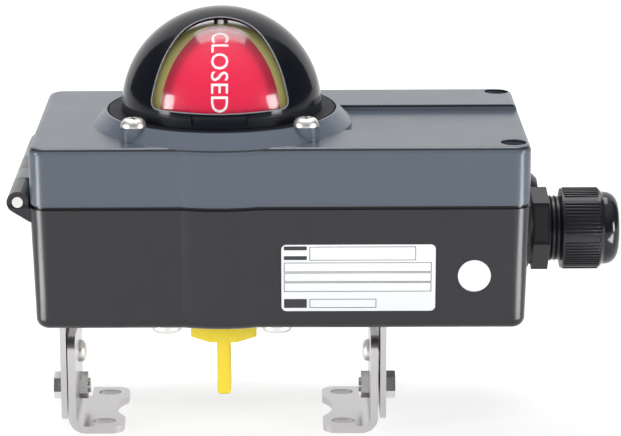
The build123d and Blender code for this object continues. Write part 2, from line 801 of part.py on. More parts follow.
with BuildPart() as shaft:
    with BuildSketch(Plane.XY.offset(shaft_bottom)):
        Rectangle(shaft_square, shaft_square)
    extrude(amount=coupling_top - shaft_bottom)
    with BuildSketch(Plane.XY.offset(coupling_top)):
        Circle(shaft_radius)
    extrude(amount=collar_bottom - coupling_top)
    with BuildSketch(Plane.XY.offset(collar_bottom)):
        Circle(shaft_radius + bush_flange)
    extrude(amount=collar_height)
    with BuildSketch(Plane.XY.offset(collar_bottom + collar_height)):
        Circle(upper_shaft_radius)
    extrude(amount=tang_bottom - collar_bottom - collar_height)
    with BuildSketch(Plane.XY.offset(tang_bottom)):
        Circle(upper_shaft_radius)
        Rectangle(2 * upper_shaft_radius, shaft_tang_width, mode=Mode.INTERSECT)
    extrude(amount=shaft_tang_length)
    # grooves for the retaining ring and the shaft seal, and the indicator screw's hole
    with BuildSketch(Plane.XY.offset(boss_under - ring_thickness - fit_gap)):
        Circle(shaft_radius + 1)
        Circle(shaft_radius - ring_depth, mode=Mode.SUBTRACT)
    extrude(amount=ring_thickness, mode=Mode.SUBTRACT)
    with BuildSketch(Plane.XZ):
        with Locations((shaft_radius, (boss_under + boss_over) / 2)):
            Rectangle(4 * o_ring_section + 0.2, 2.6 * o_ring_section)
    revolve(axis=Axis.Z, mode=Mode.SUBTRACT)
    with BuildSketch(Plane.XY.offset(tang_top)):
        Circle(indicator_screw_radius + running_gap)
    extrude(amount=-(shaft_tang_length - 1), mode=Mode.SUBTRACT)
shaft.part.label = "shaft"
export_step(shaft.part, "parts/shaft.step")

with BuildPart() as shaft_bush:
    with BuildSketch(Plane.XY.offset(boss_under)):
        Circle(shaft_radius + bush_wall)
    extrude(amount=boss_over - boss_under)
    with BuildSketch(Plane.XY.offset(boss_over)):
        Circle(shaft_radius + bush_wall + bush_flange)
    extrude(amount=bush_flange_thickness)
    with BuildSketch(Plane.XY.offset(boss_under)):
        Circle(shaft_radius + running_gap)
    extrude(amount=boss_over - boss_under + bush_flange_thickness, mode=Mode.SUBTRACT)
shaft_bush.part.label = "shaft_bush"
export_step(shaft_bush.part, "parts/shaft_bush.step")

with BuildPart() as shaft_seal:
    with BuildSketch(Plane.XZ):
        with Locations((shaft_radius - o_ring_section, (boss_under + boss_over) / 2)):
            Circle(o_ring_section)
    revolve(axis=Axis.Z)
shaft_seal.part.label = "shaft_seal"
export_step(shaft_seal.part, "parts/shaft_seal.step")

with BuildPart() as retaining_ring:
    with BuildSketch(Plane.XY.offset(boss_under - ring_thickness - fit_gap)):
        Circle(shaft_radius + 1.6)
        Circle(shaft_radius - ring_depth, mode=Mode.SUBTRACT)
        with Locations((shaft_radius, 0)):
            Rectangle(2 * shaft_radius, 2.5, mode=Mode.SUBTRACT)
    extrude(amount=ring_thickness)
retaining_ring.part.label = "retaining_ring"
export_step(retaining_ring.part, "parts/retaining_ring.step")

# octagonal coupling with the driving blade for the actuator's slot
with BuildPart() as coupling:
    with BuildSketch(Plane.XY.offset(coupling_bottom)):
        RegularPolygon(coupling_flats / 2, 8, major_radius=False, rotation=22.5)
    extrude(amount=coupling_height)
    with BuildSketch(Plane.XY.offset(coupling_bottom)):
        Circle(blade_width / 2)
        Rectangle(blade_thickness, blade_width, mode=Mode.INTERSECT)
    extrude(amount=-blade_length)
    chamfer(
        coupling.edges().filter_by(Axis.Z).group_by(Axis.Z)[0], 0.16 * blade_thickness
    )
    fillet(coupling.faces().sort_by(Axis.Z)[0].edges(), 0.8)
    with BuildSketch(Plane.XY.offset(shaft_bottom)):
        Rectangle(shaft_square + fit_gap, shaft_square + fit_gap)
    extrude(amount=shaft_socket_depth, mode=Mode.SUBTRACT)
coupling.part.label = "coupling"
export_step(coupling.part, "parts/coupling.step")

# two cams, a quarter turn apart, each with a steel flag on its rim
for name, level, facing in (("cam_lower", 0, 180), ("cam_upper", 1, 90)):
    cam_z = cam_low + level * cam_pitch
    with BuildPart() as cam:
        with BuildSketch(Plane.XY.offset(cam_z)):
            Circle(cam_radius)
        extrude(amount=cam_thickness)
        with BuildSketch(Plane.XY.offset(cam_z + cam_thickness)):
            Circle(cam_hub_radius)
        extrude(amount=cam_pitch - cam_thickness - fit_gap)
        with BuildSketch(Plane.XY.offset(cam_z)):
            with PolarLocations(cam_radius - 4, 6, start_angle=30):
                Circle(1.8)
            Circle(upper_shaft_radius + fit_gap / 2)
        extrude(amount=cam_pitch, mode=Mode.SUBTRACT)
    cam.part.label = name
    export_step(cam.part, f"parts/{name}.step")
    with BuildPart() as flag:
        with BuildSketch(Plane.XY.offset(cam_z)):
            with BuildLine():
                start = facing - cam_flag_angle / 2
                CenterArc((0, 0), cam_radius + fit_gap / 2, start, cam_flag_angle)
                CenterArc((0, 0), cam_radius + flag_thickness, start, cam_flag_angle)
                for end in (start, start + cam_flag_angle):
                    turn = math.radians(end)
                    inner = cam_radius + fit_gap / 2
                    outer = cam_radius + flag_thickness
                    Line(
                        (inner * math.cos(turn), inner * math.sin(turn)),
                        (outer * math.cos(turn), outer * math.sin(turn)),
                    )
            make_face()
        extrude(amount=cam_thickness)
    flag.part.label = name.replace("cam", "cam_flag")
    export_step(flag.part, f"parts/{flag.part.label}.step")

# indicator drum: a hollow hemisphere on a hub, with two sunk quarters for the red segments
segment_inner = indicator_radius - segment_thickness


def quarter_plane(start):
    """Upright plane through the shaft axis whose x direction points at the angle start."""
    turn = math.radians(start)
    return Plane(
        origin=(0, 0, 0),
        x_dir=(math.cos(turn), math.sin(turn), 0),
        z_dir=(math.sin(turn), -math.cos(turn), 0),
    )


with BuildPart() as indicator_drum:
    with BuildSketch(Plane.XZ):
        add(dome_section(indicator_radius - indicator_wall, indicator_radius, indicator_skirt))
    revolve(axis=Axis.Z)
    for start in (-135, 45):
        with BuildSketch(quarter_plane(start)):
            add(dome_section(segment_inner - segment_gap, 1.1 * indicator_radius, indicator_skirt))
            Rectangle(2 * segment_hole, 4 * dome_radius + 2 * sphere_z, mode=Mode.SUBTRACT)
        revolve(axis=Axis.Z, revolution_arc=90, mode=Mode.SUBTRACT)
    # hub that carries the drum on the shaft's tang
    with BuildSketch(Plane.XY.offset(hub_bottom)):
        Circle(indicator_hub_radius)
    extrude(amount=sphere_z + segment_inner - 1 - hub_bottom)
    with BuildSketch(Plane.XY.offset(hub_bottom)):
        Circle(upper_shaft_radius + running_gap)
    extrude(amount=tang_bottom - hub_bottom, mode=Mode.SUBTRACT)
    with BuildSketch(Plane.XY.offset(tang_bottom)):
        Circle(upper_shaft_radius + running_gap)
        Rectangle(
            2 * indicator_hub_radius, shaft_tang_width + 2 * running_gap, mode=Mode.INTERSECT
        )
    extrude(amount=shaft_tang_length + fit_gap, mode=Mode.SUBTRACT)
    with BuildSketch(Plane.XY.offset(tang_top)):
        Circle(indicator_screw_radius + running_gap)
    extrude(amount=2 * indicator_radius, mode=Mode.SUBTRACT)
indicator_drum.part.label = "indicator_drum"
export_step(indicator_drum.part, "parts/indicator_drum.step")

with BuildPart() as indicator_segments:
    for start in (-135, 45):
        with BuildSketch(quarter_plane(start + segment_end_gap)):
            add(dome_section(segment_inner, indicator_radius, indicator_skirt))
            Rectangle(
                2 * (segment_hole + segment_gap),
                4 * dome_radius + 2 * sphere_z,
                mode=Mode.SUBTRACT,
            )
        revolve(axis=Axis.Z, revolution_arc=90 - 2 * segment_end_gap)
indicator_segments.part.label = "indicator_segments"
export_step(indicator_segments.part, "parts/indicator_segments.step")

with BuildPart() as indicator_screw:
    crown = sphere_z + indicator_radius
    with BuildSketch(Plane.XY.offset(crown)):
        Circle(1.6 * indicator_screw_radius)
    extrude(amount=indicator_screw_head)
    fillet(indicator_screw.edges().sort_by(Axis.Z)[-1], 0.5)
    with BuildSketch(Plane.XY.offset(crown)):
        Circle(indicator_screw_radius)
    extrude(amount=-(crown - tang_bottom - 2))
indicator_screw.part.label = "indicator_screw"
export_step(indicator_screw.part, "parts/indicator_screw.step")

# ------------------------------------------------------------------ Cable gland

gland_hex_face = gland_face + gland_gasket
gland_nut_face = gland_hex_face + gland_hex_length + gland_nut_gap
gland_end = gland_nut_face + gland_nut_length + gland_cap_length
insert_radius = gland_bore_radius + gland_insert_wall

with BuildPart() as gland_body:
    with BuildSketch(Plane.YZ.offset(gland_hex_face)):
        with Locations((box_centre_y, gland_z)):
            RegularPolygon(
                gland_hex_flats / 2, 6, major_radius=False, rotation=gland_hex_turn
            )
    extrude(amount=gland_hex_length)
    with BuildSketch(Plane.YZ.offset(gland_hex_face)):
        with Locations((box_centre_y, gland_z)):
            Circle(gland_thread_radius)
    extrude(amount=-(gland_thread_length + gland_gasket))
    with BuildSketch(Plane.YZ.offset(gland_hex_face + gland_hex_length)):
        with Locations((box_centre_y, gland_z)):
            Circle(gland_neck_radius)
    extrude(amount=gland_nut_gap + gland_neck_length)
    with BuildSketch(Plane.YZ.offset(gland_face - gland_thread_length)):
        with Locations((box_centre_y, gland_z)):
            Circle(insert_radius)
    extrude(amount=gland_end - gland_face + gland_thread_length, mode=Mode.SUBTRACT)
gland_body.part.label = "gland_body"
export_step(gland_body.part, "parts/gland_body.step")

with BuildPart() as gland_gasket_ring:
    with BuildSketch(Plane.YZ.offset(gland_face)):
        with Locations((box_centre_y, gland_z)):
            Circle(gland_hex_flats / 2)
            Circle(gland_thread_radius + fit_gap, mode=Mode.SUBTRACT)
    extrude(amount=gland_gasket)
gland_gasket_ring.part.label = "gland_gasket"
export_step(gland_gasket_ring.part, "parts/gland_gasket.step")

# domed cap nut over the neck
with BuildPart() as gland_nut:
    with BuildSketch(Plane.YZ.offset(gland_nut_face)):
        with Locations((box_centre_y, gland_z)):
            Circle(gland_nut_radius)
    extrude(amount=gland_nut_length)
    chamfer(gland_nut.edges().group_by(Axis.X)[-1], gland_nut_radius - gland_cap_radius)
    with BuildSketch(Plane.YZ.offset(gland_nut_face + gland_nut_length - 1)):
        with Locations((box_centre_y, gland_z)):
            Circle(gland_cap_radius)
    extrude(amount=gland_cap_length + 1)
    fillet(gland_nut.edges().group_by(Axis.X)[-1], 0.85 * gland_cap_length)
    with BuildSketch(Plane.YZ.offset(gland_nut_face)):
        with Locations((box_centre_y, gland_z)):
            Circle(gland_neck_radius + fit_gap)
    extrude(amount=gland_neck_length + fit_gap, mode=Mode.SUBTRACT)
    with BuildSketch(Plane.YZ.offset(gland_nut_face)):
        with Locations((box_centre_y, gland_z)):
            Circle(gland_bore_radius)
    extrude(amount=gland_nut_length + gland_cap_length, mode=Mode.SUBTRACT)
gland_nut.part.label = "gland_nut"
export_step(gland_nut.part, "parts/gland_nut.step")

with BuildPart() as gland_insert:
    with BuildSketch(Plane.YZ.offset(gland_hex_face)):
        with Locations((box_centre_y, gland_z)):
            Circle(insert_radius - fit_gap / 2)
            Circle(gland_bore_radius, mode=Mode.SUBTRACT)
    extrude(amount=gland_hex_length + gland_nut_gap + gland_neck_length)
gland_insert.part.label = "gland_insert"
export_step(gland_insert.part, "parts/gland_insert.step")

# plug in the second cable entry
with BuildPart() as blind_plug:
    with BuildSketch(Plane.YZ.offset(gland_face)):
        with Locations((plug_y, gland_z)):
            Circle(plug_head_radius)
    extrude(amount=plug_head_thickness)
    chamfer(blind_plug.edges().group_by(Axis.X)[-1], plug_head_edge)
    with BuildSketch(Plane.YZ.offset(gland_face)):
        with Locations((plug_y, gland_z)):
            Circle(gland_thread_radius)
    extrude(amount=-(gland_pad_thickness + wall - fit_gap))
    with BuildSketch(Plane.YZ.offset(gland_face + plug_head_thickness)):
        with Locations((plug_y, gland_z)):
            SlotOverall(plug_head_radius, plug_slot)
    extrude(amount=-plug_head_thickness / 2, mode=Mode.SUBTRACT)
blind_plug.part.label = "blind_plug"
export_step(blind_plug.part, "parts/blind_plug.step")

# ------------------------------------------------------------------ Brackets and feet

leg_inner = leg_face - bracket_sheet
foot_leg_face = leg_inner - foot_washer_thickness
foot_leg_inner = foot_leg_face - foot_sheet
flange_inner = shaft_boss_radius + flange_gap
box_screw_x = box_screw_spacing_x / 2
box_screw_y = box_screw_spacing_y / 2

for side, name in ((-1, "left"), (1, "right")):
    # upper bracket: a flange under the housing, bent down into a leg
    with BuildPart() as upper_bracket:
        with BuildSketch(Plane.XZ) as fold:
            with Locations((flange_inner, box_bottom)):
                Rectangle(
                    leg_face - flange_inner, bracket_sheet, align=(Align.MIN, Align.MAX)
                )
            with Locations((leg_face, box_bottom)):
                Rectangle(
                    bracket_sheet, box_bottom - leg_clearance, align=(Align.MAX, Align.MAX)
                )
            fillet(fold.vertices().group_by(Axis.X)[-1].sort_by(Axis.Y)[-1], bend_radius)
        extrude(amount=flange_half_width, both=True)
        with BuildSketch():
            with BuildLine():
                Polyline(
                    (flange_inner, -flange_half_width),
                    (box_screw_x + 3 * box_screw_radius, -flange_half_width),
                    (leg_inner - bend_radius, -leg_half_width),
                    (leg_face, -leg_half_width),
                    (leg_face, leg_half_width),
                    (leg_inner - bend_radius, leg_half_width),
                    (box_screw_x + 3 * box_screw_radius, flange_half_width),
                    (flange_inner, flange_half_width),
                    close=True,
                )
            make_face()
        extrude(amount=box_bottom, mode=Mode.INTERSECT)
        fillet(
            upper_bracket.edges().filter_by(Axis.X).group_by(Axis.Z)[0], leg_half_width / 4
        )
        fillet(
            upper_bracket.edges().filter_by(Axis.Z).group_by(Axis.X)[0], 2 * box_screw_radius / 3
        )
        with BuildSketch(Plane.XY.offset(box_bottom)):
            with Locations((box_screw_x, box_screw_y), (box_screw_x, -box_screw_y)):
                Circle(box_screw_radius + screw_gap)
        extrude(amount=-bracket_sheet, mode=Mode.SUBTRACT)
        with BuildSketch(Plane.YZ.offset(leg_face)):
            with Locations((0, foot_bolt_height)):
                Circle(foot_bolt_radius + screw_gap)
            with Locations((0, foot_button_height)):
                Circle(foot_button_radius + running_gap)
        extrude(amount=-bracket_sheet, mode=Mode.SUBTRACT)
        if side < 0:
            mirror(about=Plane.YZ, mode=Mode.REPLACE)
    upper_bracket.part.label = f"upper_bracket_{name}"
    export_step(upper_bracket.part, f"parts/upper_bracket_{name}.step")

    # foot: a slotted sole bent up into a leg, with a notch between its two lobes
    with BuildPart() as foot:
        with BuildSketch(Plane.XZ) as fold:
            with Locations((foot_inner, 0)):
                Rectangle(
                    foot_leg_face - foot_inner, foot_sheet, align=(Align.MIN, Align.MIN)
                )
            with Locations((foot_leg_inner, 0)):
                Rectangle(foot_sheet, foot_leg_top, align=(Align.MIN, Align.MIN))
            with Locations((foot_leg_inner, foot_sheet)):
                Rectangle(bend_radius, bend_radius, align=(Align.MAX, Align.MIN))
            with Locations((foot_leg_inner - bend_radius, foot_sheet + bend_radius)):
                Circle(bend_radius, mode=Mode.SUBTRACT)
            fillet(
                fold.vertices().group_by(Axis.X)[-1].sort_by(Axis.Y)[0], bend_radius + foot_sheet
            )
        extrude(amount=foot_front, both=True)
        with BuildSketch() as plan:
            with Locations((foot_inner, 0)):
                Rectangle(
                    foot_leg_face - foot_inner, 2 * foot_front, align=(Align.MIN, Align.CENTER)
                )
            with Locations((foot_inner + foot_notch - foot_notch_radius, 0)):
                Circle(foot_notch_radius, mode=Mode.SUBTRACT)
            fillet(plan.vertices().group_by(Axis.X)[0], foot_corner)
            with Locations((foot_leg_inner - bend_radius, foot_leg_rear)):
                Rectangle(
                    foot_sheet + bend_radius + 1,
                    foot_front - foot_leg_rear,
                    align=(Align.MIN, Align.MIN),
                    mode=Mode.SUBTRACT,
                )
        extrude(amount=foot_leg_top, mode=Mode.INTERSECT)
        with BuildSketch():
            with Locations(
                (slot_spacing_x / 2, slot_spacing_y / 2), (slot_spacing_x / 2, -slot_spacing_y / 2)
            ):
                SlotOverall(slot_length, slot_width)
        extrude(amount=foot_sheet, mode=Mode.SUBTRACT)
        with BuildSketch(Plane.YZ.offset(foot_leg_face)):
            with Locations((0, foot_bolt_height)):
                Circle(foot_bolt_radius + screw_gap)
            with Locations((0, foot_button_height)):
                Circle(foot_button_radius + screw_gap)
        extrude(amount=-foot_sheet, mode=Mode.SUBTRACT)
        fillet(foot.edges().filter_by(Axis.X).group_by(Axis.Z)[-1], 4)
        if side < 0:
            mirror(about=Plane.YZ, mode=Mode.REPLACE)
    foot.part.label = f"foot_{name}"
    export_step(foot.part, f"parts/foot_{name}.step")

# M6 socket head screws that hold the brackets to the housing
with BuildPart() as box_screws:
    screw_head_z = box_bottom - bracket_sheet
    with BuildSketch(Plane.XY.offset(screw_head_z)):
        with GridLocations(box_screw_spacing_x, box_screw_spacing_y, 2, 2):
            Circle(5)
    extrude(amount=-2 * box_screw_radius)
    fillet(box_screws.edges().group_by(Axis.Z)[0], 0.7)
    with BuildSketch(Plane.XY.offset(screw_head_z)):
        with GridLocations(box_screw_spacing_x, box_screw_spacing_y, 2, 2):
            Circle(box_screw_radius)
    extrude(amount=bracket_sheet + box_screw_depth - 1)
    with BuildSketch(Plane.XY.offset(screw_head_z - 2 * box_screw_radius)):
        with GridLocations(box_screw_spacing_x, box_screw_spacing_y, 2, 2):
            RegularPolygon(2.5, 6, major_radius=False)
    extrude(amount=3, mode=Mode.SUBTRACT)
box_screws.part.label = "box_screws"
export_step(box_screws.part, "parts/box_screws.step")

# fasteners between bracket legs and feet: washers, hexagon bolts with nuts, button screws
bolt_end = foot_leg_inner - foot_nut_thickness - 0.8
with BuildPart() as foot_washers:
    for side in (-1, 1):
        with BuildSketch(Plane.YZ.offset(side * foot_leg_face)):
            with Locations((0, foot_bolt_height), (0, foot_button_height)):
                Circle(foot_washer_radius)
                Circle(foot_bolt_radius + screw_gap, mode=Mode.SUBTRACT)
        extrude(amount=side * foot_washer_thickness)
foot_washers.part.label = "foot_washers"
export_step(foot_washers.part, "parts/foot_washers.step")

with BuildPart() as foot_bolts:
    for side in (-1, 1):
        with BuildSketch(Plane.YZ.offset(side * leg_face)):
            with Locations((0, foot_bolt_height)):
                RegularPolygon(foot_bolt_flats / 2, 6, major_radius=False, rotation=12)
        extrude(amount=side * foot_bolt_head)
        with BuildSketch(Plane.YZ.offset(side * leg_face)):
            with Locations((0, foot_bolt_height)):
                Circle(foot_bolt_radius)
        extrude(amount=-side * (leg_face - bolt_end))
foot_bolts.part.label = "foot_bolts"
export_step(foot_bolts.part, "parts/foot_bolts.step")

with BuildPart() as foot_nuts:
    for side in (-1, 1):
        with BuildSketch(Plane.YZ.offset(side * foot_leg_inner)):
            with Locations((0, foot_bolt_height)):
                RegularPolygon(foot_bolt_flats / 2, 6, major_radius=False, rotation=20)
                Circle(foot_bolt_radius + running_gap, mode=Mode.SUBTRACT)
        extrude(amount=-side * foot_nut_thickness)
foot_nuts.part.label = "foot_nuts"
export_step(foot_nuts.part, "parts/foot_nuts.step")

with BuildPart() as foot_button_screws:
    for side in (-1, 1):
        with BuildSketch(Plane.YZ.offset(side * foot_leg_inner)):
            with Locations((0, foot_button_height)):
                Circle(foot_button_head_radius)
        extrude(amount=-side * foot_button_head)
    fillet(foot_button_screws.edges().group_by(SortBy.DISTANCE)[0], 0.1)
    for side in (-1, 1):
        with BuildSketch(Plane.YZ.offset(side * foot_leg_inner)):
            with Locations((0, foot_button_height)):
                Circle(foot_button_radius)
        extrude(amount=side * (leg_face - foot_leg_inner))
foot_button_screws.part.label = "foot_button_screws"
export_step(foot_button_screws.part, "parts/foot_button_screws.step")

# ------------------------------------------------------------------ Valve

with BuildPart() as valve_gasket:
    with BuildSketch(Plane.XZ.offset(-pad_face)):
        with Locations((valve_x, valve_mid_z)):
            RectangleRounded(
                valve_length - 2 * valve_gasket_inset,
                valve_height - 2 * valve_gasket_inset,
                valve_gasket_corner,
            )
        with Locations(*ports):
            Circle(port_radius + screw_gap, mode=Mode.SUBTRACT)
        with Locations(*valve_screws):
            Circle(valve_screw_radius + screw_gap, mode=Mode.SUBTRACT)
    extrude(amount=valve_gasket_thickness)
valve_gasket.part.label = "valve_gasket"
export_step(valve_gasket.part, "parts/valve_gasket.step")

with BuildPart() as valve_block:
    with BuildSketch(Plane.XZ.offset(-valve_rear)):
        with Locations((valve_x, valve_mid_z)):
            Rectangle(valve_length, valve_height)
    extrude(amount=valve_depth)
    fillet(valve_block.edges().filter_by(Axis.Y), valve_corner)
    with BuildSketch(Plane.XZ.offset(-valve_rear)):
        with Locations(*ports):
            Circle(valve_duct_radius)
    extrude(amount=valve_depth / 2, mode=Mode.SUBTRACT)
    with BuildSketch(Plane.XZ.offset(-valve_rear)):
        with Locations(*valve_screws):
            Circle(valve_screw_radius + screw_gap)
    extrude(amount=valve_depth, mode=Mode.SUBTRACT)
valve_block.part.label = "valve_block"
export_step(valve_block.part, "parts/valve_block.step")

with BuildPart() as valve_screw_set:
    with BuildSketch(Plane.XZ.offset(-valve_front)):
        with Locations(*valve_screws):
            Circle(valve_screw_head_radius)
    extrude(amount=valve_screw_head)
    with BuildSketch(Plane.XZ.offset(-valve_front)):
        with Locations(*valve_screws):
            Circle(valve_screw_radius)
    extrude(amount=-valve_screw_length)
    with BuildSketch(Plane.XZ.offset(-valve_front + valve_screw_head)):
        with Locations(*valve_screws):
            RegularPolygon(valve_screw_socket / 2, 6, major_radius=False)
    extrude(amount=-valve_screw_head / 2, mode=Mode.SUBTRACT)
valve_screw_set.part.label = "valve_screws"
export_step(valve_screw_set.part, "parts/valve_screws.step")

# end caps that close the spool's bore
with BuildPart() as valve_caps:
    for side in (-1, 1):
        cap_end = valve_length / 2 + valve_cap_thickness
        with BuildSketch(Plane.YZ.offset(valve_x + side * valve_length / 2)):
            with Locations((valve_rear - valve_depth / 2, valve_mid_z)):
                Circle(valve_cap_radius)
        extrude(amount=side * valve_cap_thickness)
        with BuildSketch(Plane.YZ.offset(valve_x + side * cap_end)):
            with Locations((valve_rear - valve_depth / 2, valve_mid_z)):
                Rectangle(valve_cap_radius, valve_cap_slot)
        extrude(amount=-side * valve_cap_slot_depth, mode=Mode.SUBTRACT)
valve_caps.part.label = "valve_caps"
export_step(valve_caps.part, "parts/valve_caps.step")

pilot_x = valve_x - valve_length / 4
pilot_y = valve_rear - valve_depth / 2
coil_x = pilot_x + pilot_width / 2 + coil_length / 2
with BuildPart() as pilot_valve:
    with BuildSketch(Plane.XY.offset(valve_top)):
        with Locations((pilot_x, pilot_y)):
            Rectangle(pilot_width, coil_width)
    extrude(amount=pilot_height)
    fillet(pilot_valve.edges().filter_by(Axis.Z), 1)
    with BuildSketch(Plane.XY.offset(valve_top + pilot_height)):
        with Locations((pilot_x, pilot_y)):
            Circle(button_collar_radius)
    extrude(amount=button_rise / 2)
    with BuildSketch(Plane.XY.offset(valve_top + pilot_height + button_rise / 2)):
        with Locations((pilot_x, pilot_y)):
            Circle(button_radius + running_gap)
    extrude(amount=-(button_rise / 2 + 3 * button_stroke), mode=Mode.SUBTRACT)
pilot_valve.part.label = "pilot_valve"
export_step(pilot_valve.part, "parts/pilot_valve.step")

with BuildPart() as override_button:
    with BuildSketch(Plane.XY.offset(valve_top + pilot_height - 2 * button_stroke + 0.2)):
        with Locations((pilot_x, pilot_y)):
            Circle(button_radius)
    extrude(amount=button_rise + 2 * button_stroke)
    chamfer(override_button.edges().group_by(Axis.Z)[-1], 0.3)
override_button.part.label = "override_button"
export_step(override_button.part, "parts/override_button.step")

with BuildPart() as pilot_coil:
    with BuildSketch(Plane.XY.offset(valve_top)):
        with Locations((coil_x, pilot_y)):
            Rectangle(coil_length, coil_width)
    extrude(amount=coil_height)
    fillet(pilot_coil.edges().filter_by(Axis.Z), 2)
    with BuildSketch(Plane.XY.offset(valve_top + coil_height)):
        with Locations((coil_x + coil_length / 6, pilot_y)):
            Rectangle(coil_length / 2, coil_width / 2)
    extrude(amount=plug_height)
    chamfer(pilot_coil.edges().group_by(Axis.Z)[-1], 0.8)
pilot_coil.part.label = "pilot_coil"
export_step(pilot_coil.part, "parts/pilot_coil.step")

# ------------------------------------------------------------------ Sensors

sensor_levels = [cam_low + level * cam_pitch + cam_thickness / 2 for level in (0, 1)]
sensor_holes = [(x, z) for x in screw_xs for z in sensor_levels]

with BuildPart() as sensor_bracket:
    with BuildSketch(Plane.YZ.offset(sensor_mid_x)) as fold:
        with Locations((plate_y, floor_top)):
            Rectangle(
                sensor_bracket_sheet,
                sensor_levels[1] + sensor_height / 2 - floor_top,
                align=(Align.MIN, Align.MIN),
            )
            Rectangle(bracket_foot_width, sensor_bracket_sheet, align=(Align.MIN, Align.MIN))
        fillet(fold.vertices().group_by(Axis.Y)[0].sort_by(Axis.X)[0], 1.5)
    extrude(amount=sensor_length / 2 - 1, both=True)
    with BuildSketch(Plane.XZ.offset(-plate_y - sensor_bracket_sheet)):
        with Locations(*sensor_holes):
            Circle(sensor_screw_radius + running_gap)
    extrude(amount=sensor_bracket_sheet, mode=Mode.SUBTRACT)
    with BuildSketch(Plane.XY.offset(floor_top)):
        with Locations(*bracket_holes):
            Circle(sensor_screw_radius + screw_gap)
    extrude(amount=sensor_bracket_sheet, mode=Mode.SUBTRACT)
sensor_bracket.part.label = "sensor_bracket"
export_step(sensor_bracket.part, "parts/sensor_bracket.step")

for name, level in zip(("sensor_lower", "sensor_upper"), sensor_levels):
    with BuildPart() as sensor:
        with BuildSketch(Plane.XY.offset(level - sensor_height / 2)):
            with Locations((sensor_mid_x, 0)):
                RectangleRounded(sensor_length, sensor_width, 1.5)
        extrude(amount=sensor_height)
        with BuildSketch(Plane.XZ.offset(-plate_y)):
            with Locations(*[(x, level) for x in screw_xs]):
                Circle(sensor_screw_radius + running_gap)
        extrude(amount=sensor_width, mode=Mode.SUBTRACT)
    sensor.part.label = name
    export_step(sensor.part, f"parts/{name}.step")

with BuildPart() as sensor_screws:
    with BuildSketch(Plane.XZ.offset(plate_y)):
        with Locations(*sensor_holes):
            Circle(2 * sensor_screw_radius)
    extrude(amount=2)
    with BuildSketch(Plane.XZ.offset(plate_y)):
        with Locations(*sensor_holes):
            Circle(sensor_screw_radius)
    extrude(amount=-(sensor_width + sensor_bracket_sheet))
sensor_screws.part.label = "sensor_screws"
export_step(sensor_screws.part, "parts/sensor_screws.step")

with BuildPart() as bracket_screws:
    with BuildSketch(Plane.XY.offset(floor_top + sensor_bracket_sheet)):
        with Locations(*bracket_holes):
            Circle(2 * sensor_screw_radius)
    extrude(amount=2)
    with BuildSketch(Plane.XY.offset(floor_top + sensor_bracket_sheet)):
        with Locations(*bracket_holes):
            Circle(sensor_screw_radius)
    extrude(amount=-(sensor_bracket_sheet + sensor_screw_depth))
bracket_screws.part.label = "bracket_screws"
export_step(bracket_screws.part, "parts/bracket_screws.step")

# ------------------------------------------------------------------ Board and terminals

with BuildPart() as circuit_board:
    with BuildSketch(Plane.XY.offset(board_bottom)):
        with Locations((board_x, board_y)):
            RectangleRounded(board_length, board_width, board_corner)
            with GridLocations(board_hole_x, board_hole_y, 2, 2):
                Circle(board_hole_radius, mode=Mode.SUBTRACT)
    extrude(amount=board_thickness)
circuit_board.part.label = "circuit_board"
export_step(circuit_board.part, "parts/circuit_board.step")

with BuildPart() as board_screws:
    with BuildSketch(Plane.XY.offset(board_top)):
        with Locations((board_x, board_y)):
            with GridLocations(board_hole_x, board_hole_y, 2, 2):
                Circle(board_screw_head_radius)
    extrude(amount=board_screw_head)
    with BuildSketch(Plane.XY.offset(board_top)):
        with Locations((board_x, board_y)):
            with GridLocations(board_hole_x, board_hole_y, 2, 2):
                Circle(board_screw_radius)
    extrude(amount=-(board_thickness + board_standoff - 1))
board_screws.part.label = "board_screws"
export_step(board_screws.part, "parts/board_screws.step")

terminal_length = terminal_count * terminal_pitch
terminal_y = board_y - (board_width - terminal_depth) / 2 + terminal_inset
with BuildPart() as terminal_block:
    with BuildSketch(Plane.YZ.offset(board_x - terminal_length / 2)):
        with BuildLine():
            Polyline(
                (terminal_y - terminal_depth / 2, board_top),
                (terminal_y + terminal_depth / 2, board_top),
                (terminal_y + terminal_depth / 2, board_top + 0.55 * terminal_height),
                (terminal_y + terminal_depth / 4, board_top + terminal_height),
                (terminal_y - terminal_depth / 2, board_top + terminal_height),
                close=True,
            )
        make_face()
    extrude(amount=terminal_length)
    with BuildSketch(Plane.XY.offset(board_top + terminal_height)):
        with Locations((board_x, terminal_y - terminal_depth / 8)):
            with GridLocations(terminal_pitch, 1, terminal_count, 1):
                Circle(terminal_screw_radius + terminal_screw_gap)
    extrude(amount=-terminal_height / 2, mode=Mode.SUBTRACT)
    with BuildSketch(Plane.XZ.offset(-(terminal_y + terminal_depth / 2))):
        with Locations((board_x, board_top + 0.28 * terminal_height)):
            with GridLocations(terminal_pitch, 1, terminal_count, 1):
                Rectangle(0.6 * terminal_pitch, 0.3 * terminal_height)
    extrude(amount=terminal_depth / 2, mode=Mode.SUBTRACT)
terminal_block.part.label = "terminal_block"
export_step(terminal_block.part, "parts/terminal_block.step")

with BuildPart() as terminal_screws:
    with BuildSketch(Plane.XY.offset(board_top + terminal_height / 2)):
        with Locations((board_x, terminal_y - terminal_depth / 8)):
            with GridLocations(terminal_pitch, 1, terminal_count, 1):
                Circle(terminal_screw_radius)
    extrude(amount=terminal_screw_head)
    with BuildSketch(Plane.XY.offset(board_top + terminal_height / 2 + terminal_screw_head)):
        with Locations((board_x, terminal_y - terminal_depth / 8)):
            with GridLocations(terminal_pitch, 1, terminal_count, 1):
                Rectangle(terminal_slot, 2 * terminal_screw_radius)
    extrude(amount=-terminal_slot_depth, mode=Mode.SUBTRACT)
terminal_screws.part.label = "terminal_screws"
export_step(terminal_screws.part, "parts/terminal_screws.step")
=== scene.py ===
import json
import logging
import math
from dataclasses import dataclass
from enum import Enum

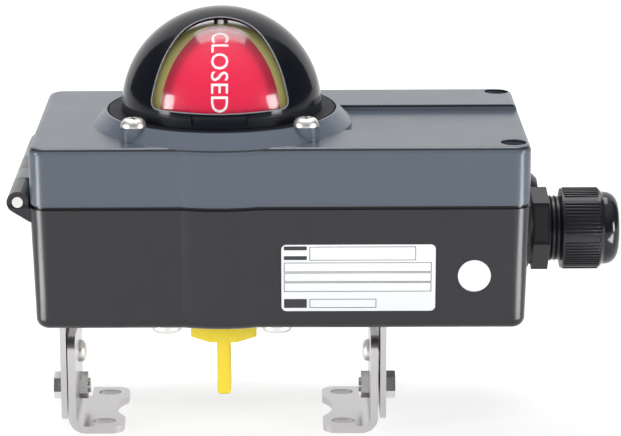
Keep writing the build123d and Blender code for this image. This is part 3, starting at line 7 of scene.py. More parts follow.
import bpy
from mathutils import Matrix, Vector


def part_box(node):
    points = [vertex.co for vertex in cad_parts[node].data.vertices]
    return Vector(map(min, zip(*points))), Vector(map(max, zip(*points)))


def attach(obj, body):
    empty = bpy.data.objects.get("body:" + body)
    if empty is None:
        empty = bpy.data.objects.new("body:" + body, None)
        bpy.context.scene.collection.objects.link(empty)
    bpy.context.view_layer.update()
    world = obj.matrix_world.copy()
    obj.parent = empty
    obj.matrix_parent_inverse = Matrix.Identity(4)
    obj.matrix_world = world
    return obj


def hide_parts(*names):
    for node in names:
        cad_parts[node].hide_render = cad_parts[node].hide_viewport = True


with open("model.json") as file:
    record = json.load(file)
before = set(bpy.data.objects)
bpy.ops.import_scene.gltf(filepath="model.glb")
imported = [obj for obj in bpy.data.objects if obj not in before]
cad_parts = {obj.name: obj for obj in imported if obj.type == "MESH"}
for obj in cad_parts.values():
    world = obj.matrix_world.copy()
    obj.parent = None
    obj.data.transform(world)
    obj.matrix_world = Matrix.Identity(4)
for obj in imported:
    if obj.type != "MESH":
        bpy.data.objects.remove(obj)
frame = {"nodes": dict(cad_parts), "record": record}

Piece = bpy.types.Object
Material = bpy.types.Material
Node = bpy.types.Node
Socket = bpy.types.NodeSocket

LOG = logging.getLogger("switch_box")
MM = 0.001
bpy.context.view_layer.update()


# ---------------------------------------------------------------- Mesh helpers


def mm(*values: float) -> tuple[float, ...]:
    """Turns millimetres into metres.

    Args:
        values: Lengths in millimetres.

    Returns:
        The same lengths in metres.
    """
    return tuple(value * MM for value in values)


def deselect() -> None:
    """Leaves edit mode and deselects every object."""
    if bpy.context.object is not None and bpy.context.object.mode != "OBJECT":
        bpy.ops.object.mode_set(mode="OBJECT")
    bpy.ops.object.select_all(action="DESELECT")


def pick(piece: Piece) -> None:
    """Makes one piece the only selected and the active object.

    Args:
        piece: The object to work on.
    """
    deselect()
    piece.select_set(True)
    bpy.context.view_layer.objects.active = piece


def edit(piece: Piece, mode: str = "FACE") -> None:
    """Enters edit mode on a piece with its whole mesh selected.

    Args:
        piece: The object to edit.
        mode: Select mode: VERT, EDGE or FACE.
    """
    pick(piece)
    bpy.ops.object.mode_set(mode="EDIT")
    bpy.ops.mesh.select_mode(type=mode)
    bpy.ops.mesh.select_all(action="SELECT")


def leave_edit() -> None:
    """Goes back to object mode."""
    bpy.ops.object.mode_set(mode="OBJECT")


def settle(piece: Piece) -> None:
    """Moves a piece's place into its mesh, so that its object sits at the origin.

    Args:
        piece: The object to settle.
    """
    pick(piece)
    bpy.ops.object.transform_apply(location=True, rotation=True, scale=True)


def join(pieces: list[Piece], name: str) -> Piece:
    """Joins several objects into one.

    Args:
        pieces: The objects, each with its own mesh.
        name: Name of the joined object.

    Returns:
        The joined object.
    """
    deselect()
    for piece in pieces:
        piece.select_set(True)
    bpy.context.view_layer.objects.active = pieces[0]
    if len(pieces) > 1:
        bpy.ops.object.join()
    joined = bpy.context.view_layer.objects.active
    joined.name = name
    joined.data.name = name
    return joined


def copy_of(piece: Piece, name: str) -> Piece:
    """Copies an object with a mesh of its own.

    Args:
        piece: The object to copy.
        name: Name of the copy.

    Returns:
        The copy.
    """
    copy = piece.copy()
    copy.data = piece.data.copy()
    copy.name = name
    bpy.context.scene.collection.objects.link(copy)
    return copy


def add_modifier(piece: Piece, kind: str, **settings: object) -> None:
    """Adds a modifier to a piece and applies it.

    Args:
        piece: The object that gets the modifier.
        kind: The modifier's type.
        settings: Values for the modifier.
    """
    pick(piece)
    modifier = piece.modifiers.new(kind.title(), kind)
    for key, value in settings.items():
        setattr(modifier, key, value)
    bpy.ops.object.modifier_apply(modifier=modifier.name)


def smooth(piece: Piece, degrees: float = 35.0) -> None:
    """Shades a piece smooth below an angle between faces.

    Args:
        piece: The object to shade.
        degrees: Edges sharper than this stay sharp.
    """
    pick(piece)
    bpy.ops.object.shade_smooth_by_angle(angle=math.radians(degrees))


def rounded_panel(name: str, width: float, height: float, corner: float) -> Piece:
    """Makes a flat panel with round corners in the XY plane about the origin.

    Args:
        name: Name of the panel.
        width: Size along X in millimetres.
        height: Size along Y in millimetres.
        corner: Corner radius in millimetres.

    Returns:
        The panel, one face thick.
    """
    deselect()
    bpy.ops.mesh.primitive_plane_add(size=1.0)
    panel = bpy.context.object
    panel.name = name
    panel.scale = (width * MM, height * MM, 1.0)
    settle(panel)
    edit(panel, "VERT")
    bpy.ops.mesh.bevel(offset=corner * MM, segments=6, affect="VERTICES")
    leave_edit()
    return panel


def thicken(piece: Piece, depth: float) -> None:
    """Gives a flat piece its thickness, upwards from its own plane.

    Args:
        piece: Piece made in the XY plane.
        depth: Thickness in millimetres.
    """
    edit(piece)
    bpy.ops.mesh.extrude_region_move(TRANSFORM_OT_translate={"value": (0, 0, depth * MM)})
    leave_edit()


# ---------------------------------------------------------------- Node helpers


@dataclass(frozen=True)
class NodeBench:
    """Adds nodes to one node tree and feeds their inputs.

    Attributes:
        tree: The node tree.
    """

    tree: bpy.types.NodeTree

    def feed(self, node: Node, inputs: dict[str | int, object]) -> None:
        """Feeds inputs of a node.

        Args:
            node: The node.
            inputs: A socket to link or a value to set, for each input.
        """
        for key, source in inputs.items():
            if isinstance(source, Socket):
                self.tree.links.new(source, node.inputs[key])
            else:
                node.inputs[key].default_value = source

    def add(
        self, kind: str, inputs: dict[str | int, object] | None = None, **settings: object
    ) -> Node:
        """Adds one node.

        Args:
            kind: Its type, without the words that all shader nodes begin with.
            inputs: What feeds it.
            settings: Its own settings.

        Returns:
            The node.
        """
        node = self.tree.nodes.new(f"ShaderNode{kind}")
        for key, value in settings.items():
            setattr(node, key, value)
        self.feed(node, inputs or {})
        return node

    def maths(self, operation: str, *terms: Socket | float) -> Socket:
        """Adds one sum.

        Args:
            operation: Name of the sum.
            terms: Its terms, each a socket or a number.

        Returns:
            The result's socket.
        """
        return self.add("Math", dict(enumerate(terms)), operation=operation).outputs["Value"]

    def ramp(
        self,
        source: Socket,
        span: tuple[float, float],
        values: tuple[float, float],
        shape: str = "LINEAR",
    ) -> Socket:
        """Adds a ramp over a value.

        Args:
            source: The value.
            span: Where the ramp starts and ends.
            values: What it gives at its start and end.
            shape: How it runs between them.

        Returns:
            The ramp's socket.
        """
        inputs = {"Value": source, "From Min": span[0], "From Max": span[1]}
        inputs |= {"To Min": values[0], "To Max": values[1]}
        return self.add("MapRange", inputs, interpolation_type=shape).outputs["Result"]

    def blend(self, share: Socket, first: object, second: object) -> Socket:
        """Adds a mix of two colours.

        Args:
            share: How much of the second colour there is.
            first: A colour or its socket.
            second: The other one.

        Returns:
            The colour's socket.
        """
        inputs = {"Factor": share, "A": first, "B": second}
        return self.add("Mix", inputs, data_type="RGBA").outputs["Result"]


# ---------------------------------------------------------------- Finishes


class Surface(Enum):
    """Kinds of surface that a finish can have."""

    POWDER = "powder coat"
    MOULDED = "moulded plastic"
    SHEET = "brushed sheet"
    TURNED = "turned metal"
    RUBBER = "rubber"
    CLEAR = "clear cover"
    BOARD = "circuit board"


@dataclass(frozen=True)
class Dulling:
    """Where a glossy moulding turns duller.

    Attributes:
        axis: Axis that the change lies along.
        start_mm: Place on that axis, in millimetres; below it the surface is dull.
        roughness: Roughness of the dull part.
    """

    axis: str
    start_mm: float
    roughness: float


@dataclass(frozen=True)
class EdgeShadeLine:
    """A dark line of painted shade along an upper edge.

    Attributes:
        middle_mm: Height of the line.
        half_mm: Half its width.
        share: How much of the colour is left in it.
    """

    middle_mm: float
    half_mm: float
    share: float


CLOUD_MM = 14.0  # size of the soft clouds in colour and roughness
WANDER = 0.06  # how far the roughness strays either way
EDGE_SHADE_CORE = 0.4  # share of an edge line that has its full darkness
DULL_FADE_MM = 0.4  # length over which gloss turns dull
TRACK_MM = 3.2  # size of the pattern of copper tracks
CLEAR_IOR = 1.33


@dataclass(frozen=True)
class Finish:
    """One finish of the switch box, built from nodes.

    Attributes:
        name: Name of the material.
        surface: Kind of surface.
        colour: Main colour, linear RGB.
        roughness: Mean roughness.
        grain_mm: Size of the fine texture in millimetres.
        relief_mm: Depth of the fine texture in millimetres.
        mottle: How far the colour wanders, from 0 to 1.
        metallic: 1 for bare metal.
        specular: Strength of the mirror-like reflection, 0.5 for plain plastic or paint.
        dull: Part of the piece that is duller than the rest.
        edge: Dark line of painted shade along an edge.
    """

    name: str
    surface: Surface
    colour: tuple[float, float, float]
    roughness: float
    grain_mm: float = 0.8
    relief_mm: float = 0.02
    mottle: float = 0.08
    metallic: float = 0.0
    specular: float = 0.5
    dull: Dulling | None = None
    edge: EdgeShadeLine | None = None

    def build(self) -> Material:
        """Builds the material.

        Returns:
            The finished node material.
        """
        material = bpy.data.materials.new(self.name)
        material.use_nodes = True
        bench = NodeBench(material.node_tree)
        shader = bench.tree.nodes["Principled BSDF"]
        bench.feed(shader, {
            "Metallic": self.metallic,
            "Roughness": self.roughness,
            "Specular IOR Level": self.specular,
        })
        if self.surface is Surface.CLEAR:
            self.make_clear(bench, shader)
            return material
        own = bench.add("TexCoord").outputs["Object"]
        place = bench.add("Mapping", {"Vector": own, "Scale": self.stretch()}).outputs["Vector"]
        self.colour_nodes(bench, shader, own, place)
        self.relief_nodes(bench, shader, place)
        return material

    def stretch(self) -> tuple[float, float, float]:
        """Chooses the scale of the texture space.

        Returns:
            Long streaks for sheet and turned metal, even scales elsewhere.
        """
        if self.surface is Surface.SHEET:
            return (1.0, 0.06, 1.0)
        if self.surface is Surface.TURNED:
            return (0.3, 0.3, 1.6)
        return (1.0, 1.0, 1.0)

    def shade(self, share: float, lift: float = 0.0) -> tuple[float, ...]:
        """The main colour made darker or lighter, with its alpha.

        Args:
            share: What it is multiplied by.
            lift: What is added to it.

        Returns:
            Red, green, blue and alpha.
        """
        return (*(min(1.0, part * share + lift) for part in self.colour), 1.0)

    def colour_nodes(self, bench: NodeBench, shader: Node, own: Socket, place: Socket) -> None:
        """Lets colour and roughness wander softly over the surface.

        Args:
            bench: Bench of the material's node tree.
            shader: Its Principled node.
            own: The piece's own coordinates.
            place: The same, stretched for the texture.
        """
        inputs = {"Vector": place, "Scale": 1.0 / (CLOUD_MM * MM), "Detail": 5.0}
        cloud = bench.add("TexNoise", inputs).outputs["Fac"]
        tint = bench.blend(cloud, self.shade(1.0 - self.mottle), self.shade(1.0 + self.mottle))
        # Painted shade: a dark line at the height that the finish's edge line gives.
        if self.edge is not None:
            tint = self.painted_edge_shade_nodes(bench, place, tint)
        if self.surface is Surface.BOARD:
            tint = self.board_nodes(bench, own, tint)
        ends = (max(0.02, self.roughness - WANDER), min(1.0, self.roughness + WANDER))
        rough = bench.ramp(cloud, (0.0, 1.0), ends)
        if self.dull is not None:
            rough = self.dull_nodes(bench, place, rough)
        bench.feed(shader, {"Base Color": tint, "Roughness": rough})

    def painted_edge_shade_nodes(self, bench: NodeBench, place: Socket, tint: Socket) -> Socket:
        """Paints shade as a darker colour in a narrow band of height.

        Args:
            bench: Bench of the material's node tree.
            place: Texture coordinates.
            tint: The colour.

        Returns:
            The darkened colour.
        """
        height = bench.add("SeparateXYZ", {"Vector": place}).outputs["Z"]
        away = bench.maths("ABSOLUTE", bench.maths("SUBTRACT", height, self.edge.middle_mm * MM))
        half = self.edge.half_mm * MM
        line = bench.ramp(away, (half * EDGE_SHADE_CORE, half), (1.0, 0.0), "SMOOTHSTEP")
        return bench.blend(line, tint, self.shade(self.edge.share))

    def dull_nodes(self, bench: NodeBench, place: Socket, rough: Socket) -> Socket:
        """Makes one end of the piece duller than the rest.

        Args:
            bench: Bench of the material's node tree.
            place: Texture coordinates.
            rough: The glossy part's roughness.

        Returns:
            The roughness all over.
        """
        along = bench.add("SeparateXYZ", {"Vector": place}).outputs[self.dull.axis]
        span = (self.dull.start_mm * MM, (self.dull.start_mm + DULL_FADE_MM) * MM)
        extra = bench.ramp(along, span, (self.dull.roughness - self.roughness, 0.0))
        return bench.maths("ADD", rough, extra)

    def board_nodes(self, bench: NodeBench, own: Socket, tint: Socket) -> Socket:
        """Shows copper tracks as paler lines under the solder mask.

        Args:
            bench: Bench of the material's node tree.
            own: The piece's own coordinates.
            tint: The mask's colour.

        Returns:
            The colour with its tracks.
        """
        inputs = {"Vector": own, "Color1": tint, "Color2": tint, "Mortar": self.shade(2.0, 0.02)}
        inputs |= {"Scale": 1.0 / (TRACK_MM * MM), "Mortar Size": 0.05, "Mortar Smooth": 0.2}
        return bench.add("TexBrick", inputs).outputs["Color"]

    def relief_nodes(self, bench: NodeBench, shader: Node, place: Socket) -> None:
        """Adds the fine texture of the surface as bump.

        Args:
            bench: Bench of the material's node tree.
            shader: Its Principled node.
            place: Texture coordinates.
        """
        inputs = {"Vector": place, "Scale": 1.0 / (self.grain_mm * MM), "Detail": 1.0}
        grain = bench.add("TexNoise", inputs).outputs["Fac"]
        inputs = {"Height": grain, "Strength": 0.6, "Distance": self.relief_mm * MM}
        bench.feed(shader, {"Normal": bench.add("Bump", inputs).outputs["Normal"]})

    def make_clear(self, bench: NodeBench, shader: Node) -> None:
        """Makes the surface a clear pane that lets lamp light through.

        Args:
            bench: Bench of the material's node tree.
            shader: Its Principled node.
        """
        bench.feed(shader, {
            "Base Color": self.shade(1.0),
            "Transmission Weight": 1.0,
            "IOR": CLEAR_IOR,
        })
        rays = bench.add("LightPath").outputs
        either = bench.maths("MAXIMUM", rays["Is Shadow Ray"], rays["Is Diffuse Ray"])
        through = bench.add("BsdfTransparent").outputs["BSDF"]
        pane = bench.add("MixShader", {"Fac": either, 1: shader.outputs["BSDF"], 2: through})
        bench.feed(bench.tree.nodes["Material Output"], {"Surface": pane.outputs["Shader"]})


# Plain numbers after a colour: roughness, grain, relief, mottle and metallic, in that order.
FINISHES: dict[str, Finish] = {
    finish.name: finish
    for finish in (
        # The housing's edge line is painted shade in the gap just under the lid's lower edge.
        Finish(
            "housing_paint", Surface.POWDER, (0.027, 0.026, 0.031), 0.25, 0.5, 0.005,
            specular=0.35, edge=EdgeShadeLine(83.0, 0.9, 0.1),
        ),
        # The lid's edge line is painted shade on the rounding of its top edge.
        Finish(
            "lid_paint", Surface.POWDER, (0.094, 0.115, 0.147), 0.25, 0.5, 0.004, 0.03,
            specular=0.4, edge=EdgeShadeLine(101.85, 0.45, 0.2),
        ),
        Finish(
            "hood_black", Surface.MOULDED, (0.005, 0.006, 0.010), 0.11, 3.0, 0.005,
            specular=0.2, dull=Dulling("Z", 109.6, 0.6),
        ),
        Finish("clear_cover", Surface.CLEAR, (0.97, 0.98, 0.99), 0.1),
        Finish(
            "indicator_yellow", Surface.MOULDED, (1.0, 0.9, 0.32), 0.4, mottle=0.03, specular=0.2
        ),
        Finish(
            "indicator_red", Surface.MOULDED, (0.78, 0.005, 0.058), 0.45, mottle=0.03, specular=0.1
        ),
        Finish(
            "yellow_plastic", Surface.MOULDED, (1.0, 0.78, 0.06), 0.4, 1.5, 0.01, 0.02, specular=0.3
        ),
        Finish("stainless", Surface.TURNED, (0.72, 0.71, 0.7), 0.26, 0.4, 0.006, 0.05, 1.0),
        Finish("bracket_steel", Surface.SHEET, (0.6, 0.585, 0.59), 0.32, 0.5, 0.02, 0.14, 1.0),
        Finish("bronze", Surface.TURNED, (0.5, 0.3, 0.12), 0.4, 0.3, 0.008, 0.12, 1.0),
        Finish(
            "gland_black", Surface.MOULDED, (0.009, 0.009, 0.013), 0.14, 0.6, 0.004,
            specular=0.4, dull=Dulling("X", 124.4, 0.34),
        ),
        Finish("seal_rubber", Surface.RUBBER, (0.02, 0.02, 0.021), 0.75, 0.5, 0.02),
        Finish("black_plastic", Surface.MOULDED, (0.02, 0.02, 0.022), 0.4, 0.6, 0.015),
        Finish("anodised", Surface.TURNED, (0.62, 0.63, 0.65), 0.35, 0.4, 0.006, 0.05, 1.0),
        Finish("sensor_body", Surface.MOULDED, (0.02, 0.05, 0.16), 0.42, 0.6, 0.012),
        Finish("board_green", Surface.BOARD, (0.012, 0.11, 0.045), 0.35, 1.0, 0.005),
        Finish("terminal_green", Surface.MOULDED, (0.05, 0.3, 0.12), 0.4, 0.6, 0.01),
        Finish("cam_plastic", Surface.MOULDED, (0.72, 0.72, 0.69), 0.45, 0.8, 0.01),
        Finish("button_plastic", Surface.MOULDED, (0.03, 0.1, 0.5), 0.35, 0.8, 0.01),
        Finish("label_white", Surface.MOULDED, (0.92, 0.935, 0.95), 0.4, 0.8, 0.003, 0.01),
        Finish("label_ink", Surface.MOULDED, (0.03, 0.03, 0.034), 0.5, 0.5, 0.002),
        Finish("word_white", Surface.MOULDED, (0.93, 0.92, 0.93), 0.45, 0.8, 0.003, 0.01),
        Finish("screw_satin", Surface.TURNED, (0.84, 0.83, 0.81), 0.42, 0.4, 0.006, 0.04, 1.0),
        # Grey colour of the window bead: painted highlight on the hood's black window lip.
        Finish("window_lip_highlight", Surface.MOULDED, (0.2, 0.21, 0.23), 0.25, 0.8, 0.003),
        # Near-black colour: painted shade for the sunk panel on the gland's hexagon.
        Finish("painted_recess_shade", Surface.MOULDED, (0.006, 0.006, 0.008), 0.5, 0.8, 0.004),
    )
}


class FinishShelf:
    """Builds each finish once and puts it on pieces."""

    def __init__(self) -> None:
        """Starts with an empty shelf."""
        self.made: dict[str, Material] = {}

    def take(self, name: str) -> Material:
        """Gives a finish's material, built when it is first asked for.

        Args:
            name: Key of the finish.

        Returns:
            The material.
        """
        if name not in self.made:
            self.made[name] = FINISHES[name].build()
        return self.made[name]

    def dress(self, piece: Piece, name: str) -> None:
        """Gives a piece one finish all over.

        Args:
            piece: The object to dress.
            name: Key of the finish.
        """
        piece.data.materials.clear()
        piece.data.materials.append(self.take(name))

    def dress_nodes(self) -> None:
        """Dresses every CAD node with the finish of its material slot."""
        for entry in frame["record"]["subparts"]:
            node = frame["nodes"].get(entry["node"])
            if node is None:
                continue
            material = self.take(entry["material_slot"])
            for slot in node.material_slots:
                slot.material = material
            if not node.material_slots:
                node.data.materials.append(material)
            LOG.info("%s wears %s", entry["node"], entry["material_slot"])


# ---------------------------------------------------------------- Front plates


@dataclass
class FrontPlates:
    """The bare label plate and the round plate on the housing's front wall.

    Sizes are in millimetres, across from the shaft axis and up from the soles.

    Attributes:
        shelf: Finishes.
        left: Left edge of the label.
        bottom: Height of the label's lower edge.
        width: Width of the label.
        height: Height of the label.
        corner: Radius of the label's corners.
        thickness: Thickness of both plates.
        edge: Width of their edges' bevel.
        sink: How far plates and print reach into what they lie on.
        round_x: Centre of the round plate.
        round_z: Height of the round plate's centre.
        round_radius: Radius of the round plate.
        print_depth: Thickness of the print.
        print_corner: Radius of the corners of bars and boxes.
        line: Width of the boxes' lines.
        bars: Solid bars: start and end from the left edge, middle from the top, height.
        boxes: Empty boxes, given in the same way.
        wall_front: Y of the front wall at its shoulder.
        wall_shoulder: Height of that shoulder.
        draft: How far the wall leans inwards towards its foot, in degrees.
    """

    shelf: FinishShelf
    left: float = 19.6
    bottom: float = 48.5
    width: float = 49.3
    height: float = 22.3
    corner: float = 1.6
    thickness: float = 0.3
    edge: float = 0.08
    sink: float = 0.02
    round_x: float = 81.3
    round_z: float = 60.2
    round_radius: float = 5.25
    print_depth: float = 0.03
    print_corner: float = 0.12
    line: float = 0.2
    bars: tuple[tuple[float, float, float, float], ...] = (
        (0.8, 8.15, 1.15, 1.3),
        (0.8, 8.15, 4.4, 1.3),
        (0.8, 8.1, 19.7, 3.0),
    )
    boxes: tuple[tuple[float, float, float, float], ...] = (
        (9.0, 43.0, 2.95, 4.6),
        (0.8, 48.0, 7.55, 3.2),
        (0.8, 48.0, 10.9, 3.1),
        (0.8, 48.0, 14.2, 3.1),
        (9.0, 30.4, 19.7, 3.0),
    )
    wall_front: float = -41.2
    wall_shoulder: float = 82.3
    draft: float = 1.8

    def seat(self, piece: Piece, x: float, z: float, proud: float) -> None:
        """Stands a flat piece upright against the leaning wall.

        Args:
            piece: Piece made in the XY plane about the origin.
            x: Where its centre goes along X.
            z: Where its centre goes along Z.
            proud: Distance of its back from the wall.
        """
        lean = math.radians(self.draft)
        wall = self.wall_front + (self.wall_shoulder - z) * math.tan(lean)
        turn = Matrix.Rotation(math.pi / 2 + lean, 4, "X")
        piece.matrix_world = Matrix.Translation(mm(x, wall - proud, z)) @ turn
        settle(piece)

    def seat_on_label(self, piece: Piece, proud: float) -> None:
        """Seats a piece at the middle of the label, at a distance from the wall."""
        self.seat(piece, self.left + self.width / 2, self.bottom + self.height / 2, proud)

    def make_plate(self, plate: Piece) -> None:
        """Gives a flat plate its thickness, soft edge and finish.

        Args:
            plate: The plate in the XY plane.
        """
        thicken(plate, self.thickness)
        add_modifier(plate, "BEVEL", width=self.edge * MM, segments=2, limit_method="ANGLE")
        self.shelf.dress(plate, "label_white")
        smooth(plate)

    def build_label(self) -> None:
        """Builds the label plate."""
        plate = rounded_panel("label_plate", self.width, self.height, self.corner)
        self.make_plate(plate)
        self.seat_on_label(plate, -self.sink)
        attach(plate, "base")
        LOG.info("label plate made")

    def mark(self, sizes: tuple[float, float, float, float], hollow: bool = False) -> Piece:
        """Makes one printed bar or empty box at its place on the label.

        Args:
            sizes: Start and end from the left edge, middle from the top, height.
            hollow: Whether only its outline is printed.

        Returns:
            The mark in the XY plane.
        """
        start, end, down, height = sizes
        mark = rounded_panel("mark", end - start, height, self.print_corner)
        mark.location = mm((start + end) / 2 - self.width / 2, self.height / 2 - down, 0)
        settle(mark)
        if hollow:
            edit(mark)
            bpy.ops.mesh.inset(thickness=self.line * MM)
            bpy.ops.mesh.delete(type="FACE")
            leave_edit()
        return mark

    def build_print(self) -> None:
        """Prints a few plain bars and boxes on the label."""
        marks = [self.mark(bar) for bar in self.bars]
        marks += [self.mark(box, hollow=True) for box in self.boxes]
        print_layer = join(marks, "label_print")
        thicken(print_layer, self.print_depth)
        self.seat_on_label(print_layer, self.thickness - self.sink)
        self.shelf.dress(print_layer, "label_ink")
        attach(print_layer, "base")
        LOG.info("label print made")

    def build_round(self) -> None:
        """Builds the bare round plate beside the label."""
        deselect()
        radius = self.round_radius * MM
        bpy.ops.mesh.primitive_circle_add(vertices=64, radius=radius, fill_type="NGON")
        disc = bpy.context.object
        disc.name = "round_plate"
        self.make_plate(disc)
        self.seat(disc, self.round_x, self.round_z, -self.sink)
        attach(disc, "base")
        LOG.info("round plate made")

    def build(self) -> None:
        """Builds both plates."""
        self.build_label()
        self.build_print()
        self.build_round()


# ---------------------------------------------------------------- Indicator words


@dataclass
class IndicatorWords:
    """Words on the indicator drum that read down the dome.

    Attributes:
        shelf: Finishes.
        radius: Radius of the drum in millimetres.
        centre_z: Height of the drum's centre above the soles.
        cap_height: Height of the letters.
        top_angle: Elevation where a word starts, in degrees.
        bottom_angle: Elevation where it ends.
        short_share: Length of the short word as a share of the long one.
        proud: Height of the letters over the drum.
        cut: Spacing of the cuts that let a word bend.
    """

    shelf: FinishShelf
    radius: float = 27.4
    centre_z: float = 107.3
    cap_height: float = 5.5
    top_angle: float = 70.4
    bottom_angle: float = 7.7
    short_share: float = 0.72
    proud: float = 0.12
    cut: float = 0.8

    def flat_word(self, text: str, share: float) -> Piece:
        """Makes a word as a flat mesh, centred across, reading along X from 0.

        Args:
            text: The word.
            share: Share of the full word length that this word takes.

        Returns:
            The word, cut finely enough to bend.
        """
        deselect()
        bpy.ops.object.text_add()
        word = bpy.context.object
        word.data.body = text
        word.data.size = 1.0
        word.data.resolution_u = 3
        bpy.ops.object.convert(target="MESH")
        word = bpy.context.object
        low = Vector(min(v.co[i] for v in word.data.vertices) for i in range(3))
        high = Vector(max(v.co[i] for v in word.data.vertices) for i in range(3))
        arc = math.radians(self.top_angle - self.bottom_angle) * self.radius * share * MM
        cap, step = self.cap_height * MM, self.cut * MM
        word.scale = (arc / (high.x - low.x), cap / (high.y - low.y), 1.0)
        word.location = (-low.x * word.scale.x, -(high.y + low.y) / 2 * word.scale.y, 0.0)
        settle(word)
        for across, start, length in (((1, 0, 0), 0.0, arc), ((0, 1, 0), -cap / 2, cap)):
            for number in range(1, int(length / step) + 1):
                point = Vector(across) * (start + number * step)
                edit(word)
                bpy.ops.mesh.bisect(plane_co=point, plane_no=across)
                leave_edit()
        return word

    def wrap(self, word: Piece, azimuth: float, start_angle: float) -> None:
        """Bends a flat word down the drum.

        Args:
            word: The flat word.
            azimuth: Where it faces, in degrees from +X.
            start_angle: Elevation of its first letter.
        """
        turn = Matrix.Rotation(math.radians(azimuth + 90.0), 3, "Z")
        for vertex in word.data.vertices:
            along, across = vertex.co.x / MM, vertex.co.y / MM
            elevation = math.radians(start_angle) - along / self.radius
            side = across / self.radius
            down = Vector((0.0, -math.cos(elevation), math.sin(elevation)))
            facing = down * math.cos(side) + Vector((1.0, 0.0, 0.0)) * math.sin(side)
            vertex.co = turn @ (facing * self.radius * MM) + Vector((0, 0, self.centre_z * MM))
        add_modifier(word, "SOLIDIFY", thickness=self.proud * MM, offset=1.0)

    def build(self) -> None:
        """Builds the four words: two on the red quarters and two on the yellow ones."""
        middle = (self.top_angle + self.bottom_angle) / 2
        for text, share, finish, facings in (
            ("CLOSED", 1.0, "word_white", (270, 90)),
            ("OPEN", self.short_share, "label_ink", (0, 180)),
        ):
            flat = self.flat_word(text, share)
            half = (self.top_angle - self.bottom_angle) * share / 2
            for facing in facings:
                word = copy_of(flat, f"word_{text.lower()}_{facing}")
                self.wrap(word, facing, middle + half)
                self.shelf.dress(word, finish)
                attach(word, "shaft")
                LOG.info("word %s made facing %s", text, facing)
            bpy.data.objects.remove(flat)


# ---------------------------------------------------------------- Gland trim


